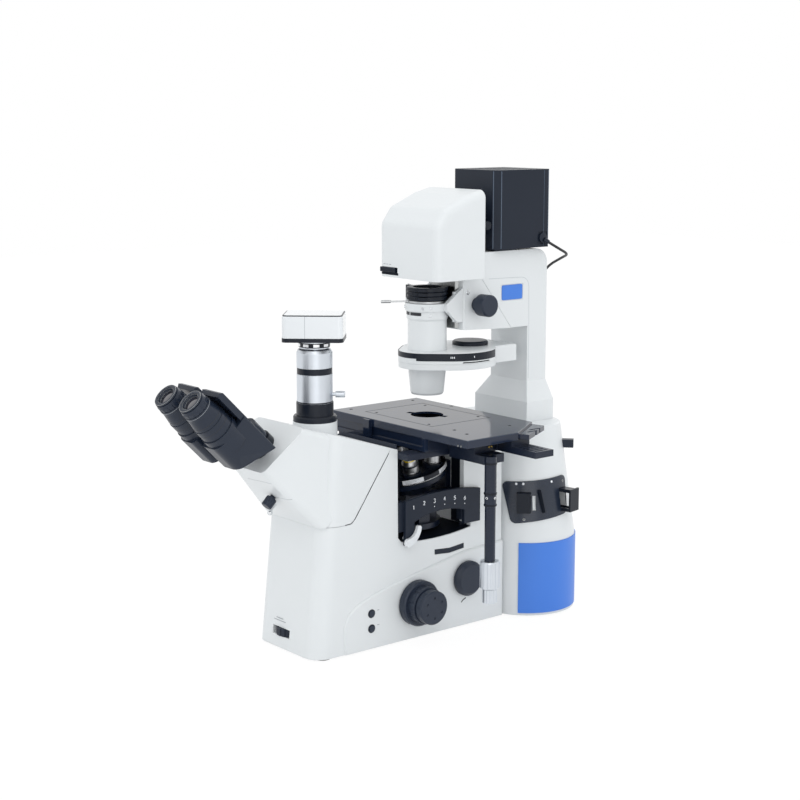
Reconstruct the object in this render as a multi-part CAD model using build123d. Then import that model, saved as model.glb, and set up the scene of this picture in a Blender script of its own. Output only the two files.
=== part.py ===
"""Inverted microscope, built as separate named pieces with one STEP file each.

Millimetres, +Z up. X = 0 is the mid-plane and +X is the user's right.
The optical axis is the line X = 0, Y = 0. The user sits at -Y, and Z = 0 is the bench.
"""
import math
import os

from build123d import *

# Driving dimensions of the stand
FOOT_HEIGHT = 3.0
HALF_WIDTH = 72.5
HALF_WIDTH_TOP = 69.5
FRONT_Y = -261.0
FRONT_LEAN = 34.0
BODY_TOP_Z = 335.0
FRONT_CORNER = 25.0
CAVITY_FRONT_Y = -113.0
CAVITY_BACK_Y = 10.6
CAVITY_INNER_Y = 26.0
CAVITY_FLOOR_Z = 147.0
STAND_BACK_Y = 85.0
COLUMN_TOP_Z = 262.0
SEAM_Z = 187.5
SEAM_GAP = 0.5

# Rear housing: two round lobes side by side
LOBE_X = 44.6
LOBE_Y = 160.0
LOBE_RADIUS = 75.0
LOBE_TOP_RADIUS = 50.3
LOBE_SHOULDER_Z = 115.0
LOBE_TOP_Z = 287.0
NECK_HALF = 44.0
SLIDE_Z = 175.0
FRONT_SLIDE_ANGLE = -46.0
BACK_SLIDE_ANGLE = 12.0
REAR_BLOCK_Z = 253.5

# Arm, hood and lamphouse
ARM_HALF = 40.0
ARM_FRONT_Y = 35.0
ARM_UNDER_Z = 430.0
ARM_TOP_Z = 545.0
ARM_BACK_Y = 202.0
PILLAR_FRONT_Y = 163.0
HOOD_BOTTOM_Z = 510.0
HOOD_HALF = 66.0
HOOD_FRONT_Y = -38.0
HOOD_BACK_Y = 57.0
HOOD_TOP_Z = 638.0
LAMP_HALF = 51.2
LAMP_FRONT_Y = 88.2
LAMP_BACK_Y = 195.5
LAMP_BOTTOM_Z = 548.0
LAMP_TOP_Z = 663.0
LAMP_AXIS_Z = 592.0
LAMP_TUBE_RADIUS = 27.0

# Head: eyepiece tubes rise at 45 degrees, eye spacing 60
EYE_HALF = 30.0
EYE_DROP = -32.5
PIVOT_V = 2.0
FACET_A = 418.6
HUB_FRONT_A = 431.0
HUB_RADIUS = 21.0
HUB_PIN_RADIUS = 11.0
BOX_INNER_X = 9.0
BOX_OUTER_X = 52.0
BOX_LOW_V = -58.5
BOX_HIGH_V = 1.0
BOX_END_A = 433.3
BOX_TOP_A = 502.0
SLEEVE_TOP_A = 531.0
PATH_X = 9.4
PATH_V = -38.4
PATH_A = 361.7

# Camera port
PORT_Y = -204.0
PORT_RING_Z = 324.0
ADAPTER_RADIUS = 25.0
CAMERA_AZIMUTH = 48.0

# Condenser
TUBE_RADIUS = 28.5
TURRET_Y = 42.0
TURRET_RADIUS = 68.0
SLAB_BOTTOM_Z = 380.0
SLAB_TOP_Z = 405.0
RAIL_HALF = 26.0
IRIS_RADIUS = 31.5
PINION_Y = 60.0
PINION_Z = 470.0
SWING_PIN_X = -38.0

# Nosepiece
NOSE_TILT = 13.0
NOSE_Y = -36.0
NOSE_Z = 226.0
NOSE_RADIUS = 58.0
CUBE_Y = -44.0
LEVER_Y = -98.5
LEVER_Z = 151.0
OBJECTIVE_CIRCLE = 37.3
OBJECTIVE_COUNT = 6
OBJECTIVE_LENGTHS = (36.0, 30.0, 33.0, 28.0, 31.0, 34.0)

# Stage
STAGE_TOP_Z = 308.0
STAGE_PLATE = 11.0
STAGE_LEFT_X = -120.0
STAGE_RIGHT_X = 185.0
STAGE_FRONT_Y = -85.0
STAGE_BACK_Y = 80.0
BASE_HALF = 92.0
MIDDLE_HALF = 95.0
INSERT_X = 76.0
INSERT_Y = 55.0
INSERT_THICK = 3.0
ROD_X = 172.0
ROD_Y = -30.0
ROD_RADIUS = 8.4

# Focus and side controls
FOCUS_Y = -83.0
FOCUS_Z = 56.0
COARSE_SHAFT_RADIUS = 8.0
FINE_SHAFT_RADIUS = 4.5
SIDE_PANEL_X = 74.8
DIAL_Y = 12.7
DIAL_Z = 74.3
BUTTON_Y = -164.0
BUTTON_ZS = {"button_upper": 54.3, "button_lower": 32.4}
SLOT_Z = 122.0
THUMB_X = -11.0
THUMB_Y = -240.0
THUMB_Z = 26.0
THUMB_RADIUS = 22.0

# Fits
RUN = 0.05
GAP = 0.3

# Lead of the lamphouse: centre line through these places, hand-laid
LEAD_RADIUS = 2.0
LAMP_SOCKET_X = -45.0
LAMP_SOCKET_Z = 130.0
PLUG_RADIUS = 6.0
GLAND_Y = 181.1
GLAND_Z = 561.9
LEAD_POINTS = [
    (58.2, 187.7, 554.8),
    (69.0, 198.5, 545.5),
    (66.0, 221.0, 536.0),
    (42.0, 232.0, 529.0),
    (8.0, 233.0, 513.0),
    (-20.0, 231.0, 478.0),
    (-40.0, 234.0, 424.0),
    (-46.0, 241.0, 362.0),
    (-42.0, 248.0, 303.0),
    (-47.0, 260.0, 250.0),
    (-44.0, 278.0, 202.0),
    (-45.0, 284.0, 165.0),
    (-45.0, 279.0, 142.0),
    (-45.0, 264.5, 130.0),
    (-45.0, 245.0, 130.0),
]

# Working planes
RIGHT = (1, 0, 0)
UP = (0, 0, 1)
HEAD = Plane(origin=(0, 0, 0), x_dir=(1, 0, 0),
             z_dir=(0, -math.sqrt(0.5), math.sqrt(0.5)))
NOSE = Plane(origin=(0, NOSE_Y, NOSE_Z), x_dir=(1, 0, 0),
             z_dir=(0, -math.sin(math.radians(NOSE_TILT)), math.cos(math.radians(NOSE_TILT))))


# Basic shapes
def block(x0, x1, y0, y1, z0, z1):
    """A box between two corners."""
    centre = Pos((x0 + x1) / 2, (y0 + y1) / 2, (z0 + z1) / 2)
    return centre * Box(x1 - x0, y1 - y0, z1 - z0)


def upright(radius, z0, z1, x=0.0, y=0.0):
    """A round bar along Z."""
    return Pos(x, y, (z0 + z1) / 2) * Cylinder(radius, z1 - z0)


def across(radius, x0, x1, y, z):
    """A round bar along X."""
    return Pos((x0 + x1) / 2, y, z) * Rot(0, 90, 0) * Cylinder(radius, x1 - x0)


def lengthwise(radius, y0, y1, x, z):
    """A round bar along Y."""
    return Pos(x, (y0 + y1) / 2, z) * Rot(90, 0, 0) * Cylinder(radius, y1 - y0)


def side_slab(points, x0, x1, soft=0.0):
    """An outline of (y, z) points carried from x0 to x1, its corners rounded by soft."""
    outline = Plane.YZ.offset(x0) * Polygon(*points, align=None)
    if soft:
        outline = fillet(outline.vertices(), soft)
    return extrude(outline, x1 - x0, dir=RIGHT)


def plan_slab(points, z0, z1, soft=0.0):
    """An outline of (x, y) points carried from z0 to z1, its corners rounded by soft."""
    outline = Plane.XY.offset(z0) * Polygon(*points, align=None)
    if soft:
        outline = fillet(outline.vertices(), soft)
    return extrude(outline, z1 - z0, dir=UP)


def turned(profile, x=0.0, y=0.0):
    """A turned piece about the line through (x, y) along Z, from (radius, z) points."""
    return Pos(x, y, 0) * revolve(Plane.XZ * Polygon(*profile, align=None), Axis.Z)


def turned_across(profile, y, z):
    """A turned piece about a line along X, from (radius, x) points."""
    upright_form = revolve(Plane.XZ * Polygon(*profile, align=None), Axis.Z)
    return Pos(0, y, z) * Rot(0, 90, 0) * upright_form


def in_head(shape):
    """Moves a shape drawn with its Z along the eyepiece tubes into place."""
    return HEAD.location * shape


def in_nose(shape):
    """Moves a shape drawn on the nosepiece's own axis into place."""
    return NOSE.location * shape


def flutes(radius, depth, count, z0, z1):
    """Round grooves along Z, spaced round a grip of the given radius."""
    groove = Cylinder(depth, z1 - z0)
    return [Rot(0, 0, 360 * i / count) * Pos(radius, 0, (z0 + z1) / 2) * groove
            for i in range(count)]


def round_hull(centres, radii, z0, z1):
    """A slab whose outline wraps round circles."""
    discs = Sketch() + [Pos(x, y) * Circle(r) for (x, y), r in zip(centres, radii)]
    outline = Plane.XY.offset(z0) * make_hull(discs.edges())
    return extrude(outline, z1 - z0, dir=UP)


# Stand
def stand_outline(z):
    """The body's plan at height z: it leans back at the front and narrows a little."""
    share = z / BODY_TOP_Z
    half = HALF_WIDTH + (HALF_WIDTH_TOP - HALF_WIDTH) * share
    front = FRONT_Y + FRONT_LEAN * share
    back = STAND_BACK_Y
    plan = Pos(0, (front + back) / 2) * Rectangle(2 * half, back - front)
    front_corners = plan.vertices().sort_by(Axis.Y)[:2]
    return Plane.XY.offset(z) * fillet(front_corners, FRONT_CORNER)


def stand_blank():
    """The whole front body before it is cut."""
    return loft([stand_outline(FOOT_HEIGHT), stand_outline(BODY_TOP_Z)])


def top_slope(y):
    """Height of the sloping top behind the eyepieces."""
    return 288.5 - 0.3137 * (y + 136.0)


def head_region(shift):
    """The room in front of and above the seam, grown back by shift."""
    rise = math.atan2(279.0 - SEAM_Z, -129.0 + 195.0)
    back = shift / math.sin(rise)
    corner = (-195.0 + back, SEAM_Z - shift)
    top = (-129.0 + back + 66.0 / 91.5 * 80.0, 359.0)
    points = [(-450, SEAM_Z - shift), corner, top, (-450, 359.0)]
    outline = Plane.YZ.offset(-130) * Polygon(*points, align=None)
    bend = outline.vertices().sort_by_distance((-130, *corner))[0]
    return extrude(fillet(bend, 9.0), 260, dir=RIGHT)


def rear_lobes(grow, z0, z1):
    """The rear housing's form: upright below the shoulder, tapered above it."""
    def section(radius, z):
        plan = Rectangle(2 * LOBE_X, 2 * radius)
        plan += [Pos(side * LOBE_X, 0) * Circle(radius) for side in (-1, 1)]
        return Plane.XY.offset(z) * Pos(0, LOBE_Y) * plan

    lower = extrude(section(LOBE_RADIUS + grow, z0), LOBE_SHOULDER_Z - z0, dir=UP)
    upper = loft([section(LOBE_RADIUS + grow, LOBE_SHOULDER_Z),
                  section(LOBE_TOP_RADIUS + grow, z1)])
    return lower + upper


def raised_side(side):
    """The thicker lower part of a side wall, round the focus knobs."""
    line = [(-211, FOOT_HEIGHT), (-211, 44), (-203, 60), (-186, 71), (-161, 80), (-129, 88),
            (-60, 102), (13, 115), (STAND_BACK_Y, 119), (STAND_BACK_Y, FOOT_HEIGHT)]
    inner, outer = sorted((side * 66.0, side * SIDE_PANEL_X))
    slab = side_slab(line, inner, outer)
    face = slab.faces().sort_by(Axis.X)[-1 if side > 0 else 0]
    return chamfer(face.edges().filter_by(lambda e: e.center().Z > 5 and e.center().Y < 80), 2.0)


def main_casting():
    """Front body of the stand, open through both sides round the objectives."""
    body = stand_blank() + raised_side(1) + raised_side(-1)
    slope_cut = [(-400, top_slope(-400)), (CAVITY_FRONT_Y, top_slope(CAVITY_FRONT_Y)),
                 (CAVITY_FRONT_Y, 400), (-400, 400)]
    body -= side_slab(slope_cut, -90, 90)
    body -= head_region(SEAM_GAP)
    with BuildSketch(Plane.YZ.offset(-90)) as window:
        with BuildLine():
            ThreePointArc((CAVITY_FRONT_Y + 6, CAVITY_FLOOR_Z), (-42, CAVITY_FLOOR_Z - 4),
                          (24, CAVITY_FLOOR_Z + 2))
            Polyline((24, CAVITY_FLOOR_Z + 2), (24, 158), (CAVITY_BACK_Y, 158),
                     (CAVITY_BACK_Y, 400), (CAVITY_FRONT_Y, 400),
                     (CAVITY_FRONT_Y, CAVITY_FLOOR_Z + 7), (CAVITY_FRONT_Y + 6, CAVITY_FLOOR_Z))
        make_face()
    body -= extrude(window.sketch, 180, dir=RIGHT)
    body -= block(-62, 62, CAVITY_FRONT_Y + 10, CAVITY_INNER_Y, CAVITY_FLOOR_Z, 400)
    body -= block(-90, 90, CAVITY_BACK_Y - 1, 200, COLUMN_TOP_Z, 400)
    body -= across(COARSE_SHAFT_RADIUS + RUN, -90, 90, FOCUS_Y, FOCUS_Z)
    body -= across(6 + RUN, 40, 90, DIAL_Y, DIAL_Z)
    for height in BUTTON_ZS.values():
        body -= across(5 + 0.2, 64, 90, BUTTON_Y, height)
    body -= side_slab(slot_outline(0.4), 66, 90)
    body -= thumb_slot()
    body -= upright(3 + RUN, 124, 160, 0, CUBE_Y)
    return body


def slot_outline(grow):
    """Outline of the curved strip low on the right side wall."""
    top, bottom = SLOT_Z + 3.5 + grow, SLOT_Z - 3.5 - grow
    return [(-45 - grow, bottom), (-17, bottom - 2.2), (10.5 + grow, bottom + 0.6),
            (10.5 + grow, top + 0.6), (-17, top - 2.2), (-45 - grow, top)]


def thumb_slot():
    """The pocket of the thumb wheel behind a slot in the front face."""
    bottom, top = THUMB_Z - 6, THUMB_Z + 6
    pocket = upright(THUMB_RADIUS + 1, bottom, top, THUMB_X, THUMB_Y)
    pocket += block(THUMB_X - 20, THUMB_X + 20, -280, THUMB_Y - 10, bottom, top)
    return pocket + upright(3 + RUN, bottom - 8, bottom + 1, THUMB_X, THUMB_Y)


def rubber_feet():
    """Four round feet under the stand."""
    places = [(-55, -236), (55, -236), (-84, 175), (84, 175)]
    return [turned([(0, 0), (12, 0), (13.5, FOOT_HEIGHT), (0, FOOT_HEIGHT)], x, y)
            for x, y in places]


def head_cover():
    """Front upper housing: it carries the camera port and the eyepiece tubes."""
    upper = stand_blank()
    slope_cut = [(-400, top_slope(-400)), (-60, top_slope(-60)), (-60, 500), (-400, 500)]
    upper -= side_slab(slope_cut, -90, 90)

    def neck_section(a, top, bottom, top_half, bottom_half, soft):
        points = [(-bottom_half, bottom), (bottom_half, bottom), (top_half, top), (-top_half, top)]
        face = Polygon(*points, align=None)
        return HEAD.offset(a) * fillet(face.vertices(), soft)

    neck = loft([neck_section(FACET_A, 46, -35, 58, 40, 9),
                 neck_section(300.0, 108, -42, 69.5, 68, 12)])
    cover = (upper + neck) & head_region(0)
    cover += upright(31, 285, PORT_RING_Z, 0, PORT_Y)
    cover -= upright(20, 292, 340, 0, PORT_Y)
    cover -= in_head(upright(HUB_PIN_RADIUS, FACET_A - 12, FACET_A + 2, 0, PIVOT_V))
    cover -= in_path_knob(upright(4 + RUN, -24, 3))
    return cover


def in_path_knob(shape):
    """Places a shape so its +Z points square out of the neck's underside."""
    return in_head(Pos(PATH_X, PATH_V, PATH_A) * Rot(90, 0, 0) * shape)


def light_path_knob():
    """Grooved knob on the neck that sends light to the eyes or the camera."""
    knob = turned([(0, 3), (7, 3), (7.7, 4), (7.7, 16.5), (6.9, 17.5), (0, 17.5)])
    knob -= flutes(8.4, 1.2, 12, 4, 19)
    return in_path_knob(knob + upright(4, -22, 4))


def rear_housing():
    """Broad two-lobed housing behind the body, with pockets for the filter slides."""
    body = rear_lobes(0, FOOT_HEIGHT, LOBE_TOP_Z)
    top = body.faces().sort_by(Axis.Z)[-1]
    body = chamfer(top.edges(), 1.5)
    body += block(-NECK_HALF, NECK_HALF, STAND_BACK_Y, LOBE_Y, FOOT_HEIGHT, COLUMN_TOP_Z)
    for angle, width, height, depth in SLIDE_POCKETS:
        body -= in_lobe(block(depth, 90, -width, width, -height, height), angle)
    body -= rear_block()
    body -= block(-24.3, 24.3, 205, 240, 60, 100)
    body -= block(LAMP_SOCKET_X - 14.3, LAMP_SOCKET_X + 14.3, 205, 240, 120, 140)
    return body


SLIDE_POCKETS = ((FRONT_SLIDE_ANGLE, 10.3, 15.3, 34.0), (BACK_SLIDE_ANGLE, 8.3, 17.3, 34.0))


def in_lobe(shape, angle):
    """Places a shape so its +X points outward from the right lobe at an angle."""
    return Pos(LOBE_X, LOBE_Y, SLIDE_Z) * Rot(0, 0, angle) * shape


def filter_panel():
    """Black curved plate round the filter slides on the right of the rear housing."""
    shell = rear_lobes(2.0, FOOT_HEIGHT, LOBE_TOP_Z) - rear_lobes(GAP, FOOT_HEIGHT, LOBE_TOP_Z)
    face = Plane(origin=(LOBE_X, LOBE_Y, 186), x_dir=(0.545, 0.839, 0), z_dir=(0.839, -0.545, 0))
    outline = Polygon((-46, 18), (52, 25), (55, -32), (-34, -43), align=None)
    outline = fillet(outline.vertices(), 8.0)
    panel = shell & extrude(face * outline, 100, dir=(0.839, -0.545, 0))
    for angle, width, height, _ in SLIDE_POCKETS:
        panel -= in_lobe(block(30, 90, -width, width, -height, height), angle)
    panel -= in_lobe(block(30, 90, -2.6, 2.6, -12, 10), -33)
    return panel


def filter_slide(angle, reach, width, height, overhang):
    """A filter slide: an open frame in its pocket with a finger plate at its outer end."""
    end = 38 + reach
    frame = block(38, end, -width, width, -height, height)
    frame -= block(42, end - 3, -width + 3, width - 3, -height + 3, height - 3)
    frame -= block(42, end - 3, -width - 1, width + 1, -height + 5, height - 5)
    plate = block(end - 3, end, -width, width + overhang, -height, height)
    return in_lobe(frame + plate, angle)


def filter_slide_front():
    return filter_slide(FRONT_SLIDE_ANGLE, 37.0, 10.0, 15.0, 0.0)


def filter_slide_back():
    return filter_slide(BACK_SLIDE_ANGLE, 48.0, 8.0, 17.0, 7.0)


def rear_panel_blue():
    """Thin blue plate wrapped round the right rear corner."""
    ring = upright(LOBE_RADIUS + 1.5, 7, LOBE_SHOULDER_Z, LOBE_X, LOBE_Y)
    ring -= upright(LOBE_RADIUS + GAP, 0, 130, LOBE_X, LOBE_Y)
    wedge = [(LOBE_X, LOBE_Y)]
    for degrees in (-51, 5, 62):
        angle = math.radians(degrees)
        wedge.append((LOBE_X + 160 * math.cos(angle), LOBE_Y + 160 * math.sin(angle)))
    return ring & plan_slab(wedge, 0, 130)


def rear_sockets():
    """Mains inlet and lamp socket in the back."""
    inlet = block(-24, 24, 206, LOBE_Y + LOBE_RADIUS + 2, 60.3, 99.7)
    inlet -= block(-13, 13, 219, 240, 68, 92)
    inlet += [block(x - 1, x + 1, 219, 230, 78, 82) for x in (-7, 0, 7)]
    lamp = block(LAMP_SOCKET_X - 14, LAMP_SOCKET_X + 14, 206, 228, 120.3, 139.7)
    lamp -= lengthwise(PLUG_RADIUS + RUN, 214, 230, LAMP_SOCKET_X, LAMP_SOCKET_Z)
    return [inlet, lamp]


def rear_block():
    """Small black block on the rear housing's upper right."""
    return Pos(0, 0, REAR_BLOCK_Z - SLIDE_Z) * in_lobe(block(46, 71, -6, 6, -6, 6), 42)


def pillar_arm():
    """Pillar and arm in one casting, flared where it stands on the housing."""
    back = ARM_BACK_Y
    arm = [(57.3, 465), (129, ARM_UNDER_Z), (PILLAR_FRONT_Y, ARM_UNDER_Z),
           (PILLAR_FRONT_Y, 330), (back, 330), (back, ARM_TOP_Z), (HOOD_BACK_Y, ARM_TOP_Z),
           (HOOD_BACK_Y, HOOD_BOTTOM_Z), (ARM_FRONT_Y + 32, 508)]
    outline = Plane.YZ.offset(-ARM_HALF) * Polygon(*arm, align=None)
    crown = outline.vertices().sort_by_distance((-ARM_HALF, back, ARM_TOP_Z))[0]
    body = extrude(fillet(crown, 22.0), 2 * ARM_HALF, dir=RIGHT)
    body -= side_slab(front_block_outline(0.0), -ARM_HALF - 1, ARM_HALF + 1)

    def section(half, front, rear, z):
        return Plane.XY.offset(z) * Pos(0, (front + rear) / 2) * Rectangle(2 * half, rear - front)

    flare = loft([section(58, 147, back, 317), section(ARM_HALF, PILLAR_FRONT_Y, back, 346)])
    foot = block(-58, 58, 147, back, LOBE_TOP_Z, 317)
    body = body + flare + foot
    body -= side_slab([(109, 471), (153, 471), (153, 495), (109, 495)], ARM_HALF - 0.8, 50)
    return body


def front_block_outline(shrink):
    """Side outline of the focus block under the hood, set off by a slanting seam."""
    return [(ARM_FRONT_Y, 434), (130 - shrink, ARM_UNDER_Z - 0.5), (72.5 - shrink, 504),
            (67.9 - shrink, HOOD_BOTTOM_Z), (ARM_FRONT_Y, HOOD_BOTTOM_Z)]


def arm_front():
    """Focus block of the condenser: the front of the arm under the hood."""
    body = side_slab(front_block_outline(SEAM_GAP), -ARM_HALF, ARM_HALF)
    upper = block(-50, 50, HOOD_BACK_Y, 100, HOOD_BOTTOM_Z, 520)
    body -= upper
    edges = body.edges().filter_by(Axis.Z).filter_by(lambda e: e.center().Y < 40)
    body = chamfer(edges, 2.0)
    body -= across(6 + RUN, -60, 60, PINION_Y, PINION_Z)
    return body


def lamp_hood():
    """Tall hood over the mirror, its front upper corner slanted and its sides drawn in."""
    points = [(HOOD_FRONT_Y, HOOD_BOTTOM_Z), (HOOD_FRONT_Y, 588), (-21, 611), (24, 630),
              (HOOD_BACK_Y, HOOD_TOP_Z), (HOOD_BACK_Y, HOOD_BOTTOM_Z)]
    outline = Plane.YZ.offset(-HOOD_HALF) * Polygon(*points, align=None)
    bends = [v for v in outline.vertices() if v.Z > 560 and v.Y < 50]
    body = extrude(fillet(bends, 16.0), 2 * HOOD_HALF, dir=RIGHT)
    sides = [e for e in body.edges().filter_by(Axis.Z) if e.center().Y < 0]
    body = fillet(sides, 12.0)
    roof = [e for e in body.edges() if e.center().Z > 600 and abs(e.center().X) > 50
            and e.length > 5]
    body = chamfer(roof, 5.0) if roof else body
    body -= upright(26, HOOD_BOTTOM_Z - 1, HOOD_BOTTOM_Z + 14)
    body -= lengthwise(LAMP_TUBE_RADIUS - 4, 40, 60, 0, LAMP_AXIS_Z)
    body -= block(-HOOD_HALF - 1, -22, HOOD_FRONT_Y - 1, HOOD_FRONT_Y + 12, 516.5, 524.5)
    return body


def field_lever():
    """Slide for the field stop, in a slot low on the hood's front."""
    bar = block(-61, -27, HOOD_FRONT_Y - 1.0, HOOD_FRONT_Y + 10, 517, 524)
    return chamfer(bar.edges().filter_by(Axis.X), 0.8)


def lamp_tube():
    """Tube that carries the lamp's light into the hood, with its clamp screw."""
    tube = lengthwise(LAMP_TUBE_RADIUS, HOOD_BACK_Y, LAMP_FRONT_Y, 0, LAMP_AXIS_Z)
    tube -= lengthwise(LAMP_TUBE_RADIUS - 4, HOOD_BACK_Y - 1, LAMP_FRONT_Y + 1, 0, LAMP_AXIS_Z)
    screw = turned_across([(0, LAMP_TUBE_RADIUS - 1), (2.5, LAMP_TUBE_RADIUS - 1), (2.5, 36),
                           (6.5, 36), (6.5, 47), (5.5, 48), (0, 48)], 75.0, LAMP_AXIS_Z - 8)
    tube += screw
    return tube


def lamphouse():
    """Lamp box standing on the arm on a short foot."""
    body = block(-LAMP_HALF, LAMP_HALF, LAMP_FRONT_Y, LAMP_BACK_Y, LAMP_BOTTOM_Z, LAMP_TOP_Z)
    corners = body.edges().filter_by(Axis.Z).sort_by(Axis.Y)
    body = chamfer(corners[:2], 10.0)
    body = chamfer(body.edges().filter_by(Axis.Z).sort_by(Axis.Y)[-2:], 3.0)
    body -= lengthwise(LAMP_TUBE_RADIUS - 4, LAMP_FRONT_Y - 1, LAMP_FRONT_Y + 30, 0, LAMP_AXIS_Z)
    body -= [block(-32, 32, y - 2, y + 2, LAMP_TOP_Z - 6, LAMP_TOP_Z + 1)
             for y in (112, 126, 140, 154, 168)]
    body -= block(LAMP_HALF - 1.0, 60, GLAND_Y - 10, GLAND_Y + 9, GLAND_Z - 9, GLAND_Z + 9)
    foot = block(-40, 40, LAMP_FRONT_Y + 7, 138, ARM_TOP_Z, LAMP_BOTTOM_Z)
    body -= across(4.0, LAMP_HALF - 8, 60, GLAND_Y, GLAND_Z)
    return body + foot


def lead_gland():
    """Gland on the side of the lamphouse, its boot bent back and down."""
    start = LAMP_HALF - 1.0
    base = turned_across([(0, start - 6), (4.0, start - 6), (4.0, start), (7.5, start),
                          (7.5, start + 3), (0, start + 4)], GLAND_Y, GLAND_Z)
    tip = Vector(*LEAD_POINTS[0])
    along = (Vector(*LEAD_POINTS[1]) - tip).normalized()
    boot = Plane(origin=tip, z_dir=along) * Pos(0, 0, -4) * Cone(4.0, 3.0, 8)
    return base + boot


def lead_bends():
    """The radius of each bend, limited by the shorter run beside it."""
    radii = []
    for before, here, after in zip(LEAD_POINTS, LEAD_POINTS[1:], LEAD_POINTS[2:]):
        into = Vector(*here) - Vector(*before)
        out = Vector(*after) - Vector(*here)
        turn = math.radians(into.get_angle(out))
        radii.append(0.45 * min(into.length, out.length) / math.tan(turn / 2))
    return radii


def lead():
    """Flexible lead from the lamphouse down behind the pillar to its plug."""
    radii = lead_bends()
    path = FilletPolyline(*LEAD_POINTS, radius=radii)
    start = Plane(origin=path @ 0, z_dir=path % 0)
    cord = sweep(start * Circle(LEAD_RADIUS), path=path)
    swept = math.pi * LEAD_RADIUS ** 2 * path.length
    print("lead length", round(path.length, 1), "bends", [round(r, 1) for r in radii],
          "volume share", round(cord.volume / swept, 4))
    return cord


def lead_plug():
    """Round plug at the lead's lower end, in the lamp socket."""
    end = LEAD_POINTS[-1][1]
    plug = lengthwise(PLUG_RADIUS, 215, end - 8, LAMP_SOCKET_X, LAMP_SOCKET_Z)
    return plug + lengthwise(4.5, end - 9, end, LAMP_SOCKET_X, LAMP_SOCKET_Z)


# Condenser
def condenser_rail():
    """Upright slide rail screwed to the front of the arm."""
    front = TUBE_RADIUS + 1.8
    return plan_slab([(-RAIL_HALF, front), (RAIL_HALF, front), (RAIL_HALF + 3, ARM_FRONT_Y),
                      (-RAIL_HALF - 3, ARM_FRONT_Y)], 436, 508)


def condenser_carrier():
    """White bracket on the rail: two cheeks, a floor and the ring under the filters."""
    ring = turned([(TUBE_RADIUS - 2, 463), (IRIS_RADIUS + 1, 463), (IRIS_RADIUS + 1, 474),
                   (TUBE_RADIUS - 2, 474)])
    floor = block(-39, 39, 4, ARM_FRONT_Y - 0.5, 463, 474) - upright(IRIS_RADIUS, 460, 480)
    body = ring + floor
    for side in (-1, 1):
        inner, outer = sorted((side * (RAIL_HALF + 6), side * 39.0))
        cheek = [(4, 474), (ARM_FRONT_Y - 0.5, 496), (ARM_FRONT_Y - 0.5, 446), (24, 446), (6, 463)]
        body += side_slab(cheek, inner, outer)
        gib_inner, gib_outer = sorted((side * (RAIL_HALF + 3.4), side * (RAIL_HALF + 7)))
        body += block(gib_inner, gib_outer, TUBE_RADIUS - 6, ARM_FRONT_Y - 0.5, 446, 490)
    body -= upright(TUBE_RADIUS + 1.7, 440, 463)
    post = upright(4.5, 463, 478.3, SWING_PIN_X, -4) + block(SWING_PIN_X, -28, -8.5, 0.5, 463, 474)
    post -= upright(TUBE_RADIUS, 460, 480)
    body += post + upright(1.5, 470, 498, SWING_PIN_X, -4)
    reach = RAIL_HALF + 3.4
    return body - block(-reach, reach, TUBE_RADIUS + 1.5, 60, 430, 520)


def condenser_knobs():
    """Pinion shaft of the condenser with a knob on each side."""
    shaft = across(6, -ARM_HALF - 6, ARM_HALF + 6, PINION_Y, PINION_Z)
    for side in (-1, 1):
        profile = [(0, side * (ARM_HALF + 0.4)), (10, side * (ARM_HALF + 0.4)),
                   (10, side * (ARM_HALF + 11)), (16, side * (ARM_HALF + 11)),
                   (16, side * (ARM_HALF + 29)), (14, side * (ARM_HALF + 31)),
                   (0, side * (ARM_HALF + 31))]
        shaft += turned_across(profile, PINION_Y, PINION_Z)
    return shaft


def condenser_body():
    """Condenser: upper tube, the turret's slab housing and the tapered lens barrel."""
    tube = turned([(21, 400), (TUBE_RADIUS, SLAB_TOP_Z - 1), (TUBE_RADIUS, 449), (30.2, 452),
                   (30.2, 462.7), (21, 462.7)])
    slab = turret_slab(SLAB_BOTTOM_Z, SLAB_TOP_Z, 0.0)
    slab = chamfer(slab.faces().sort_by(Axis.Z)[-1].edges(), 1.5)
    slot = upright(TURRET_RADIUS + 6, 390.0, 400.6, 0, TURRET_Y)
    slot -= block(-80, 80, 97, 200, 380, 410)
    slot += upright(TURRET_RADIUS + 0.4, 390.0, 400.6, 0, TURRET_Y)
    slab -= slot
    slab += upright(7.0, 385, 402, 0, TURRET_Y)
    barrel = turned([(0, 344), (20, 344), (20, 340), (23, 340), (24.5, 343), (28, 379),
                     (28, SLAB_BOTTOM_Z + 1), (0, SLAB_BOTTOM_Z + 1)])
    cap = turned([(0, SLAB_TOP_Z - 1), (26.5, SLAB_TOP_Z - 1), (26.5, 409), (24, 411), (0, 411)],
                 0, 2 * TURRET_Y)
    body = slab + tube + barrel + cap
    body -= upright(14, 384, 420)
    return body


def turret_slab(z0, z1, grow):
    """The slab round the condenser turret: a small round front, a wide middle, a square back."""
    centres = [(0, 0), (0, TURRET_Y)]
    slab = round_hull(centres, [42 + grow, TURRET_RADIUS + 2 + grow], z0, z1)
    slab -= block(-120, 120, 97, 200, z0 - 1, z1 + 1)
    return slab + block(-ARM_HALF, ARM_HALF, 90, 141, z0, z1)


def condenser_turret():
    """Wheel with five openings, turned by its rim, which shows through the slab's edge."""
    wheel = upright(TURRET_RADIUS, 390.6, 400, 0, TURRET_Y)
    for i in range(5):
        wheel -= Pos(0, TURRET_Y, 0) * Rot(0, 0, -90 + 72 * i) * upright(13, 380, 410, TURRET_Y, 0)
    return wheel - upright(7.0 + RUN, 380, 410, 0, TURRET_Y)


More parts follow.
